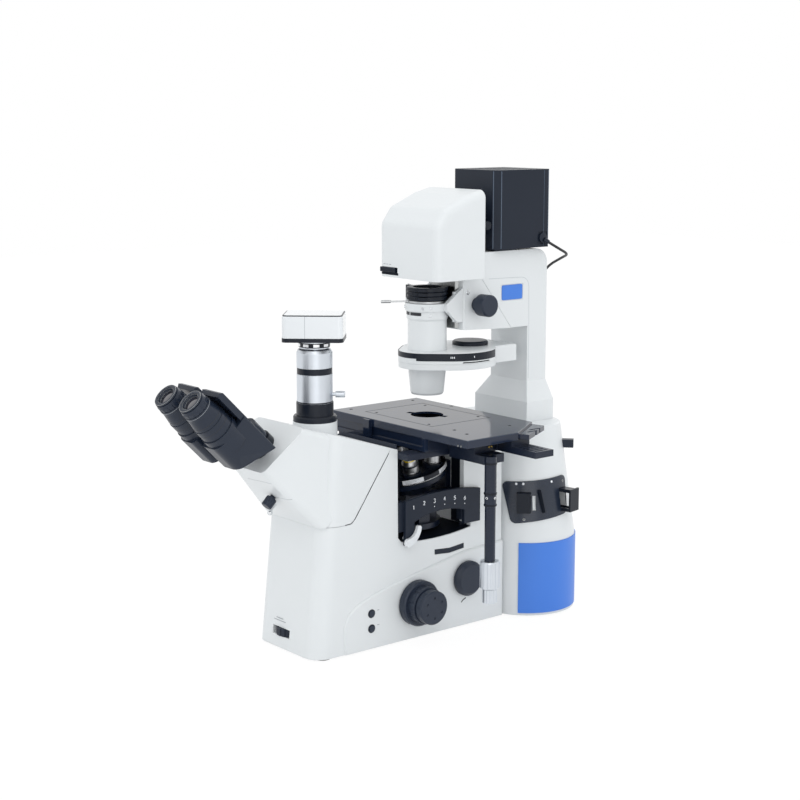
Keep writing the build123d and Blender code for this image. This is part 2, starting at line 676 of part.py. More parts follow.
def aperture_lever():
    """Ring and white lever of the aperture stop, above the condenser tube."""
    ring = turned([(22, 474.3), (IRIS_RADIUS - 3, 474.3), (IRIS_RADIUS - 3, 477.4), (22, 477.4)])
    lever = block(IRIS_RADIUS - 5, 60, -1.5, 1.5, 474.8, 477.0)
    knob = across(2.2, 54, 68, 0, 475.9)
    return Rot(0, 0, -120) * (ring + lever + knob)


def filter_ring(z):
    """A filter holder that swings out on the carrier's pin."""
    ring = turned([(21, z), (29.5, z), (30, z + 0.6), (30, z + 5.2), (29.5, z + 5.8), (21, z + 5.8)])
    ear = upright(4.2, z, z + 5.8, SWING_PIN_X, -4) + block(SWING_PIN_X, -25, -7, -1, z, z + 5.8)
    tab = Rot(0, 0, -52) * block(28, 33, -6, 6, z + 0.6, z + 5.2)
    body = ring + ear - upright(21, z - 1, z + 7) + tab
    return body - upright(1.5 + RUN, z - 1, z + 7, SWING_PIN_X, -4)


# Camera port
def port_ring():
    """Black ring and collar on the camera port."""
    return turned([(20, PORT_RING_Z), (30.5, PORT_RING_Z), (30.5, 330), (29, 332), (26, 332),
                   (26, 350), (20, 350)], 0, PORT_Y)


def camera_adapter():
    """Turned metal adapter with a waist, and its clamp screw."""
    r = ADAPTER_RADIUS
    body = turned([(20.0, 350), (r, 350), (r, 390), (r - 1, 390), (r - 1, 399), (r, 399),
                   (r, 420), (r - 2, 424), (20.5, 426), (20.5, 437), (14, 437), (14, 380),
                   (20.0, 380)], 0, PORT_Y)
    screw = turned([(0, r - 2), (2.5, r - 2), (2.5, r + 4), (4.6, r + 4), (4.6, r + 16),
                    (4, r + 17), (0, r + 17)])
    return body + Pos(0, PORT_Y, 361) * Rot(0, 0, CAMERA_AZIMUTH) * Rot(0, 90, 0) * screw


def camera_body():
    """Small camera on the adapter: a soft-cornered case over a thin base plate."""
    case = Rectangle(62, 84)
    case = extrude(Plane.XY.offset(440.5) * fillet(case.vertices(), 7), 33, dir=UP)
    case = chamfer(case.faces().sort_by(Axis.Z)[-1].edges(), 2.0)
    plate = Rectangle(58, 80)
    plate = extrude(Plane.XY.offset(437) * fillet(plate.vertices(), 6), 4, dir=UP)
    body = case + plate
    body -= block(-32, -26, -9, 9, 452, 461)
    return Pos(0, PORT_Y, 0) * Rot(0, 0, CAMERA_AZIMUTH - 90) * body


# Eyepiece head
def tube_hub():
    """Black hub that the two eyepiece tubes turn on."""
    hub = turned([(0, FACET_A), (HUB_RADIUS, FACET_A), (HUB_RADIUS, HUB_FRONT_A - 1),
                  (HUB_RADIUS - 1, HUB_FRONT_A), (HUB_PIN_RADIUS, HUB_FRONT_A),
                  (HUB_PIN_RADIUS, 468), (0, 468)], 0, PIVOT_V)
    hub += upright(HUB_PIN_RADIUS - RUN, FACET_A - 10, FACET_A + 1, 0, PIVOT_V)
    return in_head(hub)


def tube_box(side):
    """Prism housing of one eye, hung on the hub by an ear at its own level."""
    section = Polygon((BOX_INNER_X, BOX_LOW_V), (BOX_OUTER_X, BOX_LOW_V),
                      (BOX_OUTER_X, BOX_HIGH_V), (BOX_INNER_X, BOX_HIGH_V), align=None)
    for corner, soft in (((BOX_OUTER_X, BOX_LOW_V), 17.0), ((BOX_INNER_X, BOX_LOW_V), 8.0),
                         ((BOX_OUTER_X, BOX_HIGH_V), 4.0)):
        section = fillet(section.vertices().sort_by_distance((*corner, 0))[0], soft)
    body = extrude(Pos(0, 0, 425) * section, BOX_TOP_A - 425, dir=UP)
    fin = [(BOX_HIGH_V, 490), (BOX_HIGH_V, 549), (-2.5, 553), (-8, 550), (-8, 490)]
    body += side_slab(fin, BOX_INNER_X, BOX_OUTER_X - 2)
    ear = (BOX_END_A, 446.0) if side > 0 else (446.4, 459.0)
    link = upright(19, ear[0], ear[1], 0, PIVOT_V) + plan_slab(
        [(0, PIVOT_V + 8), (12, -4), (30, -12), (30, -45), (15, -45), (0, -16)], ear[0], ear[1])
    body += link
    sleeve = upright(25, BOX_TOP_A - 20, 512, EYE_HALF, EYE_DROP)
    sleeve += upright(23.5, 500, SLEEVE_TOP_A, EYE_HALF, EYE_DROP)
    body += sleeve & block(0, BOX_OUTER_X + 3, -90, -8, 400, 600)
    body -= low_end()
    other_ear = (446.4, 460.0) if side > 0 else (425.0, 446.4)
    body -= upright(20, *other_ear, 0, PIVOT_V)
    body -= upright(HUB_PIN_RADIUS + RUN, 430, 470, 0, PIVOT_V)
    body -= upright(15.0 + RUN, 515, 552, EYE_HALF, EYE_DROP)
    if side < 0:
        body = mirror(body, Plane.YZ)
    return in_head(body)


def low_end():
    """What is cut from a prism housing's lower end: a slanted end and an outer facet."""
    fall = (-BOX_END_A + 458.0) / (BOX_HIGH_V - BOX_LOW_V)
    under = [(60, BOX_END_A - fall * 59), (-90, BOX_END_A + fall * 91), (-90, 380), (60, 380)]
    ridge = Plane(origin=(BOX_OUTER_X, -31, 459), x_dir=(0, 0.755, -0.655),
                  z_dir=(0.978, -0.136, -0.157))
    return side_slab(under, -10, 90) + ridge * Pos(0, 0, 30) * Box(160, 160, 60)


def eyepiece(side):
    """Eyepiece barrel with a cupped eye end."""
    form = turned([(0, 518), (15, 518), (15, SLEEVE_TOP_A), (22.8, SLEEVE_TOP_A), (22.3, 536),
                   (20, 549.5), (20, 556), (15, 556), (15, 566.8),
                   (17.5, 566.8), (18, 568), (17, 569.5), (13.5, 569.5), (11, 563), (0, 563)],
                  side * EYE_HALF, EYE_DROP)
    return in_head(form)


def diopter_ring(side):
    """Ribbed ring that turns on the eyepiece to set its focus."""
    ring = turned([(15 + RUN, 556.3), (19.5, 556.3), (19.5, 562), (18.2, 566.5), (15 + RUN, 566.5)])
    ring -= flutes(20.4, 1.4, 16, 555, 563)
    return in_head(Pos(side * EYE_HALF, EYE_DROP, 0) * ring)


# Focus drive and controls
def coarse_knobs():
    """Hollow focus shaft through the stand with a stepped knob at each end."""
    shaft = across(COARSE_SHAFT_RADIUS, -96, 96, FOCUS_Y, FOCUS_Z)
    face = SIDE_PANEL_X + 0.5
    for side in (-1, 1):
        profile = [(0, face), (31, face), (33, face + 2), (33, face + 12), (31, face + 14),
                   (27, face + 14), (27, face + 26), (26, face + 27), (0, face + 27)]
        knob = turned([(r, x) for r, x in profile])
        knob -= flutes(28.2, 1.8, 10, face + 16, face + 28)
        shaft += Pos(0, FOCUS_Y, FOCUS_Z) * Rot(0, side * 90, 0) * knob
    return shaft - across(FINE_SHAFT_RADIUS + RUN, -120, 120, FOCUS_Y, FOCUS_Z)


def fine_knobs():
    """Thin shaft inside the coarse one with a fine knob at each end."""
    shaft = across(FINE_SHAFT_RADIUS, -104, 104, FOCUS_Y, FOCUS_Z)
    face = SIDE_PANEL_X + 28.0
    for side in (-1, 1):
        knob = turned([(0, face), (23.5, face), (24.5, face + 1), (24.5, face + 12),
                       (23, face + 13.5), (0, face + 13.5)])
        dimples = [Rot(0, 0, 60 * i) * Pos(15, 0, face + 13.5) * Cylinder(1.8, 2)
                   for i in range(6)]
        shaft += Pos(0, FOCUS_Y, FOCUS_Z) * Rot(0, side * 90, 0) * (knob - dimples)
    return shaft


def focus_carriage():
    """Dark carriage that lifts the nosepiece: guide post, bowl and bearing."""
    bowl = turned([(0, -32), (20, -32), (34, -24), (56, -7), (56, -0.4), (20, -0.4), (20, 2),
                   (12, 2), (12, 14), (0, 14)])
    body = in_nose(bowl)
    body -= upright(9, 150, 260)
    shelf = block(-26, 26, -62, CAVITY_INNER_Y - 1.2, 184, 200)
    slide = block(-24, 24, CAVITY_INNER_Y - 9, CAVITY_INNER_Y - GAP, 180, 240)
    slide -= in_nose(upright(NOSE_RADIUS + 1.5, -0.6, 60))
    return body + shelf + slide - upright(13, 170, 201)


def nosepiece():
    """Rotating turret with six tilted seats and a scale rim."""
    wheel = turned([(12 + RUN, 2.3), (30, 2.3), (30, 0.3), (54, 0.3), (NOSE_RADIUS, 1.5),
                    (NOSE_RADIUS, 9), (55.5, 9), (54, 3.5), (50, 3.5), (44, 10), (20, 12),
                    (12 + RUN, 12)])
    seats = []
    for i in range(OBJECTIVE_COUNT):
        seat = Pos(0, OBJECTIVE_CIRCLE, 0) * Rot(-NOSE_TILT, 0, 0) * upright(14.5, 5, 17)
        seats.append(Rot(0, 0, 60 * i) * seat)
    wheel += seats
    bores = [Rot(0, 0, 60 * i) * Pos(0, OBJECTIVE_CIRCLE, 0) * Rot(-NOSE_TILT, 0, 0)
             * upright(8.0, -8, 20) for i in range(OBJECTIVE_COUNT)]
    wheel -= bores
    wheel -= upright(12 + RUN, -5, 30)
    return in_nose(wheel)


def objectives():
    """Six objectives of graded lengths on the turret's seats."""
    pieces = []
    for i, length in enumerate(OBJECTIVE_LENGTHS):
        tip = 17 + length
        form = turned([(0, 17), (12, 17), (12, tip - 16), (9.5, tip - 12), (9.5, tip - 6),
                       (5.5, tip), (0, tip)])
        place = Rot(0, 0, 60 * i) * Pos(0, OBJECTIVE_CIRCLE, 0) * Rot(-NOSE_TILT, 0, 0)
        pieces.append(in_nose(place * form))
    return pieces


def cube_housing():
    """Black front plate of the filter turret, arched above a wide finger opening."""
    with BuildSketch(Plane.YZ.offset(72)) as plate:
        with BuildLine():
            ThreePointArc((-104, 207), (-34, 212.5), (37, 206))
            Polyline((37, 206), (37, 157), (6, 157), (6, 178))
            ThreePointArc((6, 178), (-44, 184), (-88, 174))
            Polyline((-88, 174), (-88, 158), (-93, 143), (-104, 142), (-104, 207))
        make_face()
    body = extrude(plate.sketch, 6, dir=RIGHT)
    body = chamfer(body.faces().sort_by(Axis.X)[-1].edges(), 0.8)
    cheeks = block(62, 72, CAVITY_BACK_Y - 6, CAVITY_BACK_Y, 162, 205)
    cheeks += block(62, 72, CAVITY_FRONT_Y, -100, 162, 205)
    return body + cheeks - across(2.5 + RUN, 60, 90, LEVER_Y, LEVER_Z)


def cube_turret():
    """Filter turret under the nosepiece: a wheel with six cubes, on a pin in the floor."""
    wheel = upright(53, 152, 160, 0, CUBE_Y)
    wheel += upright(14, CAVITY_FLOOR_Z - 3.5, 153, 0, CUBE_Y)
    wheel += upright(3, 125, 150, 0, CUBE_Y)
    wheel += [Pos(0, CUBE_Y, 0) * Rot(0, 0, 60 * i) * block(24, 47, -10, 10, 159, 176)
              for i in range(6)]
    return wheel


def turret_lever():
    """White hooked lever at the lower front corner of the opening."""
    with BuildSketch(Plane.YZ.offset(SIDE_PANEL_X + 4)) as hook:
        with BuildLine():
            ThreePointArc((-80, 166), (-86, 152), (-99, 142))
            ThreePointArc((-99, 142), (-108, 146), (-104, 153))
            ThreePointArc((-104, 153), (-92, 158), (-87, 168))
            ThreePointArc((-87, 168), (-83, 170), (-80, 166))
        make_face()
    body = extrude(hook.sketch, 5, dir=RIGHT)
    return body + across(2.5, 66, SIDE_PANEL_X + 5, LEVER_Y, LEVER_Z)


def side_dial():
    """Broad chamfered dial on the right side."""
    face = SIDE_PANEL_X + 0.5
    dial = turned_across([(0, face), (24, face), (26, face + 2), (26, face + 7),
                          (21, face + 12), (0, face + 12)], DIAL_Y, DIAL_Z)
    return dial + across(6, 42, face + 1, DIAL_Y, DIAL_Z)


def button(z):
    """Round push button in the side wall."""
    return turned_across([(0, 66), (5, 66), (5, SIDE_PANEL_X + 1.6), (4.2, SIDE_PANEL_X + 2.4),
                          (0, SIDE_PANEL_X + 2.4)], BUTTON_Y, z)


def side_strip():
    """Black curved strip let into the right side wall under the window."""
    return side_slab(slot_outline(0.1), 66, 71.0)


def thumb_wheel():
    """Ribbed thumb wheel lying flat in the front face."""
    wheel = upright(THUMB_RADIUS, THUMB_Z - 5.5, THUMB_Z + 5.5, THUMB_X, THUMB_Y)
    grooves = [Pos(THUMB_X, THUMB_Y, THUMB_Z) * Rot(0, 0, 20 * i) * upright(1.1, -7, 7, THUMB_RADIUS, 0)
               for i in range(18)]
    return wheel - grooves + upright(3, THUMB_Z - 13.5, THUMB_Z - 5, THUMB_X, THUMB_Y)


# Stage
def stage_base():
    """Fixed frame under the stage, on the rear column and the cavity's front wall."""
    frame = block(-BASE_HALF, BASE_HALF, CAVITY_FRONT_Y + GAP, STAGE_BACK_Y, 268, 277)
    frame -= block(-66, 66, -104, 22, 260, 290)
    frame += block(-66, 66, CAVITY_FRONT_Y + GAP, CAVITY_FRONT_Y + 2.4, 270, 287.5)
    return frame + block(-58, 58, CAVITY_INNER_Y + 2, STAGE_BACK_Y - 2, COLUMN_TOP_Z, 269)


def stage_middle():
    """Plate that slides front to back, with an outrigger for the control rod."""
    y0, y1 = STAGE_FRONT_Y + 7, STAGE_BACK_Y - 10
    plate = block(STAGE_LEFT_X + 8, MIDDLE_HALF, y0, y1, 288, 296.7)
    plate += [block(*sorted((side * 76, side * MIDDLE_HALF)), y0, y1, 277 + GAP, 289)
              for side in (-1, 1)]
    plate -= block(-64, 64, -72, 52, 270, 300)
    plate += block(MIDDLE_HALF - 1, 150, -40, -3, 277 + GAP, 296.7)
    plate += block(BASE_HALF + 4, ROD_X - 2, -40, -3, 266, 278)
    return plate - upright(ROD_RADIUS, 260, 290, ROD_X, ROD_Y)


def stage_top():
    """Top plate that slides left to right, with a front rail and a recess for the insert."""
    z0 = STAGE_TOP_Z - STAGE_PLATE
    outline = [(STAGE_LEFT_X, STAGE_FRONT_Y), (STAGE_RIGHT_X, STAGE_FRONT_Y),
               (STAGE_RIGHT_X, 9.6), (139.2, STAGE_BACK_Y), (STAGE_LEFT_X, STAGE_BACK_Y)]
    plate = plan_slab(outline, z0, STAGE_TOP_Z)
    plate = chamfer(plate.faces().sort_by(Axis.Z)[-1].edges(), 0.8)
    plate -= block(-INSERT_X - GAP, INSERT_X + GAP, -INSERT_Y - GAP, INSERT_Y + GAP,
                   STAGE_TOP_Z - INSERT_THICK, 320)
    plate -= block(-INSERT_X + 4, INSERT_X - 4, -INSERT_Y + 4, INSERT_Y - 4, 290, 310)
    skirt = block(STAGE_LEFT_X, 96, STAGE_FRONT_Y, STAGE_FRONT_Y + 6, 278, z0 + 1)
    skirt -= block(STAGE_LEFT_X + 5, 90, STAGE_FRONT_Y - 1, STAGE_FRONT_Y + 3, 284.5, 297)
    clamp = block(-38, -24, STAGE_FRONT_Y - 5, STAGE_FRONT_Y + 1, 278, STAGE_TOP_Z - 1)
    corner = plan_slab([(181, 12), (196, 20), (160, 84), (136, 78)], z0 + 1, 305)
    corner -= [block(x, x + 4, y, y + 20, 290, 310) for x, y in ((168, 46), (178, 32))]
    return plate + skirt + clamp + corner


def stage_insert():
    """Thin insert with the specimen opening and two finger notches."""
    plate = block(-INSERT_X, INSERT_X, -INSERT_Y, INSERT_Y, STAGE_TOP_Z - INSERT_THICK,
                  STAGE_TOP_Z)
    plate -= upright(24, 300, 310)
    for side in (-1, 1):
        plate -= Rot(0, 0, 20) * block(*sorted((side * 20, side * 33)), -5, 5, 300, 310)
    return plate


def stage_rack():
    """Ribbed guide bar that reaches out to the right under the top plate."""
    bar = block(154, 230, 0, 34, 279, 288)
    bar -= [block(x, x + 3, 4, 28, 285.5, 290) for x in range(190, 226, 8)]
    bar += block(154, 182, 0, 34, 287, STAGE_TOP_Z - STAGE_PLATE)
    return bar


def stage_column():
    """Hanging tube of the stage drive with a wider upper sleeve."""
    return turned([(4.0, 128.6), (7.6, 128.6), (7.6, 206), (ROD_RADIUS, 208),
                   (ROD_RADIUS, 277.7), (4.0, 277.7)], ROD_X, ROD_Y)


def stage_knob_y():
    """Upper fluted knob: it drives the stage front to back."""
    knob = turned([(2.6, 89), (12.5, 89), (13.8, 91), (13.8, 126), (12.5, 128.3), (3.9, 128.3),
                   (3.9, 140), (2.6, 140)])
    return Pos(ROD_X, ROD_Y, 0) * (knob - flutes(14.8, 1.8, 12, 88, 129))


def stage_knob_x():
    """Lower fluted knob on the inner shaft: it drives the stage left to right."""
    knob = turned([(0, 68), (10, 68), (10.6, 69), (10.6, 88), (0, 88)])
    knob -= flutes(11.2, 1.4, 10, 67, 89)
    return Pos(ROD_X, ROD_Y, 0) * (knob + upright(2.5, 87, 150))


NODES = {
    "main_casting": main_casting,
    "rubber_feet": rubber_feet,
    "head_cover": head_cover,
    "rear_housing": rear_housing,
    "rear_panel_blue": rear_panel_blue,
    "filter_panel": filter_panel,
    "filter_slide_front": filter_slide_front,
    "filter_slide_back": filter_slide_back,
    "rear_sockets": rear_sockets,
    "rear_block": rear_block,
    "pillar_arm": pillar_arm,
    "arm_front": arm_front,
    "lamp_hood": lamp_hood,
    "field_lever": field_lever,
    "lamp_tube": lamp_tube,
    "lamphouse": lamphouse,
    "lead_gland": lead_gland,
    "lead": lead,
    "lead_plug": lead_plug,
    "condenser_rail": condenser_rail,
    "condenser_carrier": condenser_carrier,
    "condenser_knobs": condenser_knobs,
    "condenser_body": condenser_body,
    "condenser_turret": condenser_turret,
    "aperture_lever": aperture_lever,
    "filter_ring_1": lambda: filter_ring(478.6),
    "filter_ring_2": lambda: filter_ring(484.8),
    "filter_ring_3": lambda: filter_ring(491.0),
    "port_ring": port_ring,
    "camera_adapter": camera_adapter,
    "camera_body": camera_body,
    "tube_hub": tube_hub,
    "tube_box_right": lambda: tube_box(1),
    "tube_box_left": lambda: tube_box(-1),
    "eyepiece_right": lambda: eyepiece(1),
    "eyepiece_left": lambda: eyepiece(-1),
    "diopter_right": lambda: diopter_ring(1),
    "diopter_left": lambda: diopter_ring(-1),
    "light_path_knob": light_path_knob,
    "coarse_knobs": coarse_knobs,
    "fine_knobs": fine_knobs,
    "focus_carriage": focus_carriage,
    "nosepiece": nosepiece,
    "objectives": objectives,
    "cube_housing": cube_housing,
    "cube_turret": cube_turret,
    "turret_lever": turret_lever,
    "side_dial": side_dial,
    "button_upper": lambda: button(BUTTON_ZS["button_upper"]),
    "button_lower": lambda: button(BUTTON_ZS["button_lower"]),
    "side_strip": side_strip,
    "thumb_wheel": thumb_wheel,
    "stage_base": stage_base,
    "stage_middle": stage_middle,
    "stage_top": stage_top,
    "stage_insert": stage_insert,
    "stage_rack": stage_rack,
    "stage_column": stage_column,
    "stage_knob_x": stage_knob_x,
    "stage_knob_y": stage_knob_y,
}


def main():
    os.makedirs("parts", exist_ok=True)
    for name, build in NODES.items():
        shape = build()
        if isinstance(shape, (list, tuple)):
            shape = Compound(children=[s.solid() for s in shape])
        print(name, len(shape.solids()), round(shape.volume))
        export_step(shape, "parts/" + name + ".step")


main()
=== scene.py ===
"""Looks of an inverted microscope, laid out as an add-on and run as a script.

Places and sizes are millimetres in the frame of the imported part, unless a comment says metres:
+X is the user's right, the user sits at -Y, +Z is up and the optical axis is X = Y = 0.
"""
import math

import bpy
import numpy as np
from bpy.props import FloatProperty, FloatVectorProperty, PointerProperty
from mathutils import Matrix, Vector
from mathutils.bvhtree import BVHTree


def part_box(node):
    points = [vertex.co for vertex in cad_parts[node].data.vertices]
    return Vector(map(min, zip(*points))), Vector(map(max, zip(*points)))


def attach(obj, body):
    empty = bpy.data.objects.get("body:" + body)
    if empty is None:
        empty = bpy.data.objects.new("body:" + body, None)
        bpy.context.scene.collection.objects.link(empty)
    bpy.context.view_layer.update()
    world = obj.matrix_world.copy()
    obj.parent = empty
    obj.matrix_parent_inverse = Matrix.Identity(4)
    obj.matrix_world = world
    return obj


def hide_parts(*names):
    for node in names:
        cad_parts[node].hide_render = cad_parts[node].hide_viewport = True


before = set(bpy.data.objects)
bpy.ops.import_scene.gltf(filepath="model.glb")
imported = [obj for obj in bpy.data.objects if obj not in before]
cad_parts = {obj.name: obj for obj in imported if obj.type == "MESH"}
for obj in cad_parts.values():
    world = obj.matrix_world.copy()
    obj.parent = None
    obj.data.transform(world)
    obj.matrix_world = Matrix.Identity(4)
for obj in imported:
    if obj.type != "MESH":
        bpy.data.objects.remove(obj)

bl_info = {
    "name": "Inverted microscope looks",
    "version": (1, 0, 0),
    "blender": (4, 5, 0),
    "location": "3D View > Sidebar > Microscope",
    "description": "Paints the packed inverted microscope and adds its fine pieces",
    "category": "Object",
}

# Directions
S45 = math.sqrt(0.5)
NOSE_TILT = math.radians(13)
EYE_AXIS = (0, -S45, S45)
NOSE_AXIS = (0, -math.sin(NOSE_TILT), math.cos(NOSE_TILT))
FRONT = (0, -1, 0)
RIGHT = (1, 0, 0)
UP = (0, 0, 1)

# Making of pieces: MM is metres in a millimetre, SINK is how far a plate's back goes in
MM = 0.001
SINK = 0.3
LIFT = 0.12
RAY_BACK = 25
LEAST_RADIUS = 0.001
LEAST_LENGTH = 1e-9
SHARP_ANGLE = math.radians(32)

# View and light, in metres: each light has a place, a side and a power
CAMERA_PLACE = (1.80552, -1.52909, 0.74882)
CAMERA_AIM = (-0.0232, -0.0323, 0.330)
SENSOR_WIDTH = 36
VIEW_END = 60
LIGHT_AIM = (0, 0, 0.32)
LIGHTS = {
    "Key": ((2.2, -1.6, 2.6), 1.6, 9),
    "Front fill": ((-1.6, -3, 1.6), 2.2, 4),
    "Top": ((0.2, 0.4, 3.2), 2.6, 9),
    "Rear edge": ((-1.2, 2.6, 1.8), 1.6, 9),
    "Low fill": ((2.4, -1.4, 0.35), 1.6, 7),
}
SOFT_COLOUR, SOFT_STRENGTH = (0.96, 0.985, 1, 1), 0.95
FLOOR_COLOUR = (0.9, 0.9, 0.9, 1)
FLOOR_GLOW, FLOOR_GLOW_SHARE = 1.04, 0.9

# Surfaces: GRAIN_DEPTH is in metres
NOISE_LOW, NOISE_HIGH = 0.3, 0.7
MOTTLE_SCALE = 16
COAT_ROUGHNESS = 0.12
GRAIN_DEPTH = 0.0002

# Lamp lead: the points that its curve runs by
LEAD_POINTS = [
    (58.2, 187.7, 554.8), (69, 198.5, 545.5), (66, 221, 536), (42, 232, 529),
    (8, 233, 513), (-20, 231, 478), (-40, 234, 424), (-46, 241, 362),
    (-42, 248, 303), (-47, 260, 250), (-44, 278, 202), (-45, 284, 165),
    (-45, 279, 142), (-45, 264.5, 130), (-45, 245, 130),
]

# Eyepieces: each pair is a radius and a height along the axis
EYE_HALF, EYE_OFFSET = 30, -32.5
LENS_RADIUS, LENS_HEIGHT, LENS_RISE = 11, 563.2, 2.2
EYE_RIM = [(11, 563), (12.2, 565.5), (13, 568.4), (12.6, 568.4), (11.4, 565),
           (10.4, 564), (11, 563)]
EYE_HOOPS = {
    "Eye_shine_": ("Rail metal", [(12.9, 568.3), (11.2, 564.9), (17.2, 569.2)], 0.35, 0.25, 64),
    "Tube_seams_": ("Marking black", [(22.3, 535.6), (23.5, 522)], 0.6, 0.08, 72),
    "Eye_line_": ("Marking grey", [(20, 553.4)], 0.5, 0.12, 72),
}
EYE_MARK_TURNS = (200, 207, 214, 221)
EYE_MARK_RADIUS, EYE_MARK_LOW, EYE_MARK_HIGH = 21.4, 540.6, 542.4

# Plate with six numbers: their middles in Y and Z, and their width by their height
NUMBER_FACE = 78
NUMBER_PLACES = [(-90.1, 196.1), (-70.8, 199.5), (-51.4, 200.1), (-32.3, 200.5),
                 (-13.1, 198.9), (6.2, 195.9)]
STROKE_WIDTH = 1.05
DIGIT_SHARE = 0.6
DOT_DROP, DOT_RADIUS = 8.5, 0.8

# Nosepiece and objectives
NOSE_Y, NOSE_Z, NOSE_RADIUS = -36, 226, 58
SCALE_LOW, SCALE_HIGH, SCALE_START, SCALE_END = 3.2, 9.4, 13, 44
SCALE_LINES = ((7.4, 20), (5.6, 16), (4.2, 9))
SEAT_COUNT, SEAT_RADIUS, SEAT_HEIGHT = 6, 37.3, 17
OBJECTIVE_LENGTHS = (36, 30, 33, 28, 31, 34)
RING_LOOKS = ("Red ring", "Yellow ring", "Green ring")
RING_TINTS = {"Yellow ring": (0.85, 0.62, 0.03), "Red ring": (0.6, 0.03, 0.02),
              "Green ring": (0.03, 0.4, 0.08)}
GRIP_RADIUS, GRIP_RIBS, GRIP_WAVE = 12.25, 32, 0.008

# Stage and the rod of its hanging drive
STAGE_TOP, STAGE_FRONT, STAGE_RIGHT = 308, -84.8, 184.9
INSERT_SCREWS = ((-60, 47), (60, 47), (-60, -47), (60, -47))
PLATE_SCREWS = ((115, -47), (139, 36), (-30, 74), (-105, -60), (-105, 60), (148, -53))
INSERT_GAP = 0.55
FRONT_SCREWS_X, FRONT_SCREW_Z = (166, 172), 298.4
GOLD_SCREWS = ((150, -13.2, 285), (150, -8.6, 285))
OUTRIGGER_LIP = (149.6, -3.4, 278), (150.6, -0.4, 296)
RACK_CHEEK = (152.6, -2.6, 279.2), (154.4, 0.6, 297.4)
ROD_X, ROD_Y, ROD_RADIUS = 172, -30, 8
ROD_SCREW_Z, ROD_SCREW_TURNS = 219.5, (12, 96)
ROD_RINGS = (207, 223.5, 266)

# Condenser slab, round in front and behind: each strip is two angles and two heights
SLAB_SMALL, SLAB_WIDE, SLAB_WIDE_Y = 42, 70, 42
SLAB_TANGENT = -41.8
SLAB_LOW, SLAB_LINE, SLAB_STEP, SLAB_TOP = 388.6, 393.4, 396.6, 404.2
SLAB_START, SLAB_BEND, SLAB_END = 33, -62, -165
SLAB_BAND = ((SLAB_START, SLAB_BEND, SLAB_LINE, SLAB_TOP),
             (SLAB_BEND, SLAB_END, SLAB_STEP, SLAB_TOP))
SLAB_COVER = ((36, 16, SLAB_LOW, SLAB_LINE), (16, -24, SLAB_LINE - 1.6, SLAB_LINE),
              (36, -24, SLAB_LOW, SLAB_LOW + 0.8), (-24, SLAB_END, SLAB_LOW, SLAB_LINE),
              (SLAB_BEND, SLAB_END, SLAB_LINE - 0.2, SLAB_STEP + 0.2))
SLAB_MARKS = (-9, -34, -36, -38)

# Condenser cap, filter rings, bolts and the dark windows in the collar
CAP_Y = 84
CAP_RINGS = [(26.8, 405.1), (26.8, 409.3), (24.2, 411.4), (0, 411.4)]
FILTER_RING_RADIUS, FILTER_RING_HEIGHTS = 29.9, (478.6, 484.8, 491)
COLLAR_BOLTS, COLLAR_BOLT_Z = ((20, -25.6), (-20, -25.6), (27.7, -17)), 468
LOW_BOLT = (25.5, -16.2, 457.2)
RIM_BOLT_RADIUS, RIM_BOLT_Z = 26, 474
COLLAR_RADIUS, COLLAR_LOW, COLLAR_HIGH = 30.2, 457, 461.6
COLLAR_WINDOWS = ((226, 262), (266, 303))

# Arm with its corner in Y, Z and radius, hood with the slot for its lever, lamphouse
ARM_SIDE = 40
BADGE_PLACE, BADGE_SIZE = (ARM_SIDE - 0.8, 131, 483), (41, 22, 2.5)
ARM_SCREW = (ARM_SIDE, 42.7, 488.7)
HOOD_MARKS_X, HOOD_MARKS_Z = (-52, -45.5, -39), 528.4
ARM_CORNER = (150, 489, 15)
HOOD_FRONT = -38
HOOD_CORNER, HOOD_CORNER_RADIUS = (-54, -26, 0), 12
SLOT_END, SLOT_BACK, SLOT_LOW, SLOT_HIGH = -22.2, -26.2, 516.4, 524.6
SHEET = 0.4
LEVER_FRONT, LEVER_Z = -39, 520.5
LAMP_LOW, LAMP_HIGH, LAMP_SIDE = 549.5, 661.5, 51.2

# Camera port: each pair of the adapter's bands is a radius and a height
PORT_Y = -204
CAMERA_TURN = math.radians(42)
ADAPTER_BANDS = (
    [(23.9, 390.2), (24.6, 390.4), (24.6, 398.6), (23.9, 398.8)],
    [(20.4, 427.4), (21.8, 427.8), (21.8, 433.6), (20.4, 434)],
    [(24.9, 350.4), (25.4, 350.7), (25.4, 351.9), (24.9, 352.2)],
)
PAD_RADIUS, PAD_LOW, PAD_HIGH, PAD_ANGLE = 21.8, 429, 433, 22

# Camera: each plate is two half sizes, a corner radius and two heights
CAMERA_SEAM = (31, -10, 457)
CAMERA_SHOE, CAMERA_CROWN = (31.4, 42.4, 7.4, 436.8, 442.4), (30, 41, 6, 472.6, 473.9)
CAMERA_LID = (28.4, 39.4, 5, 473, 474.2)

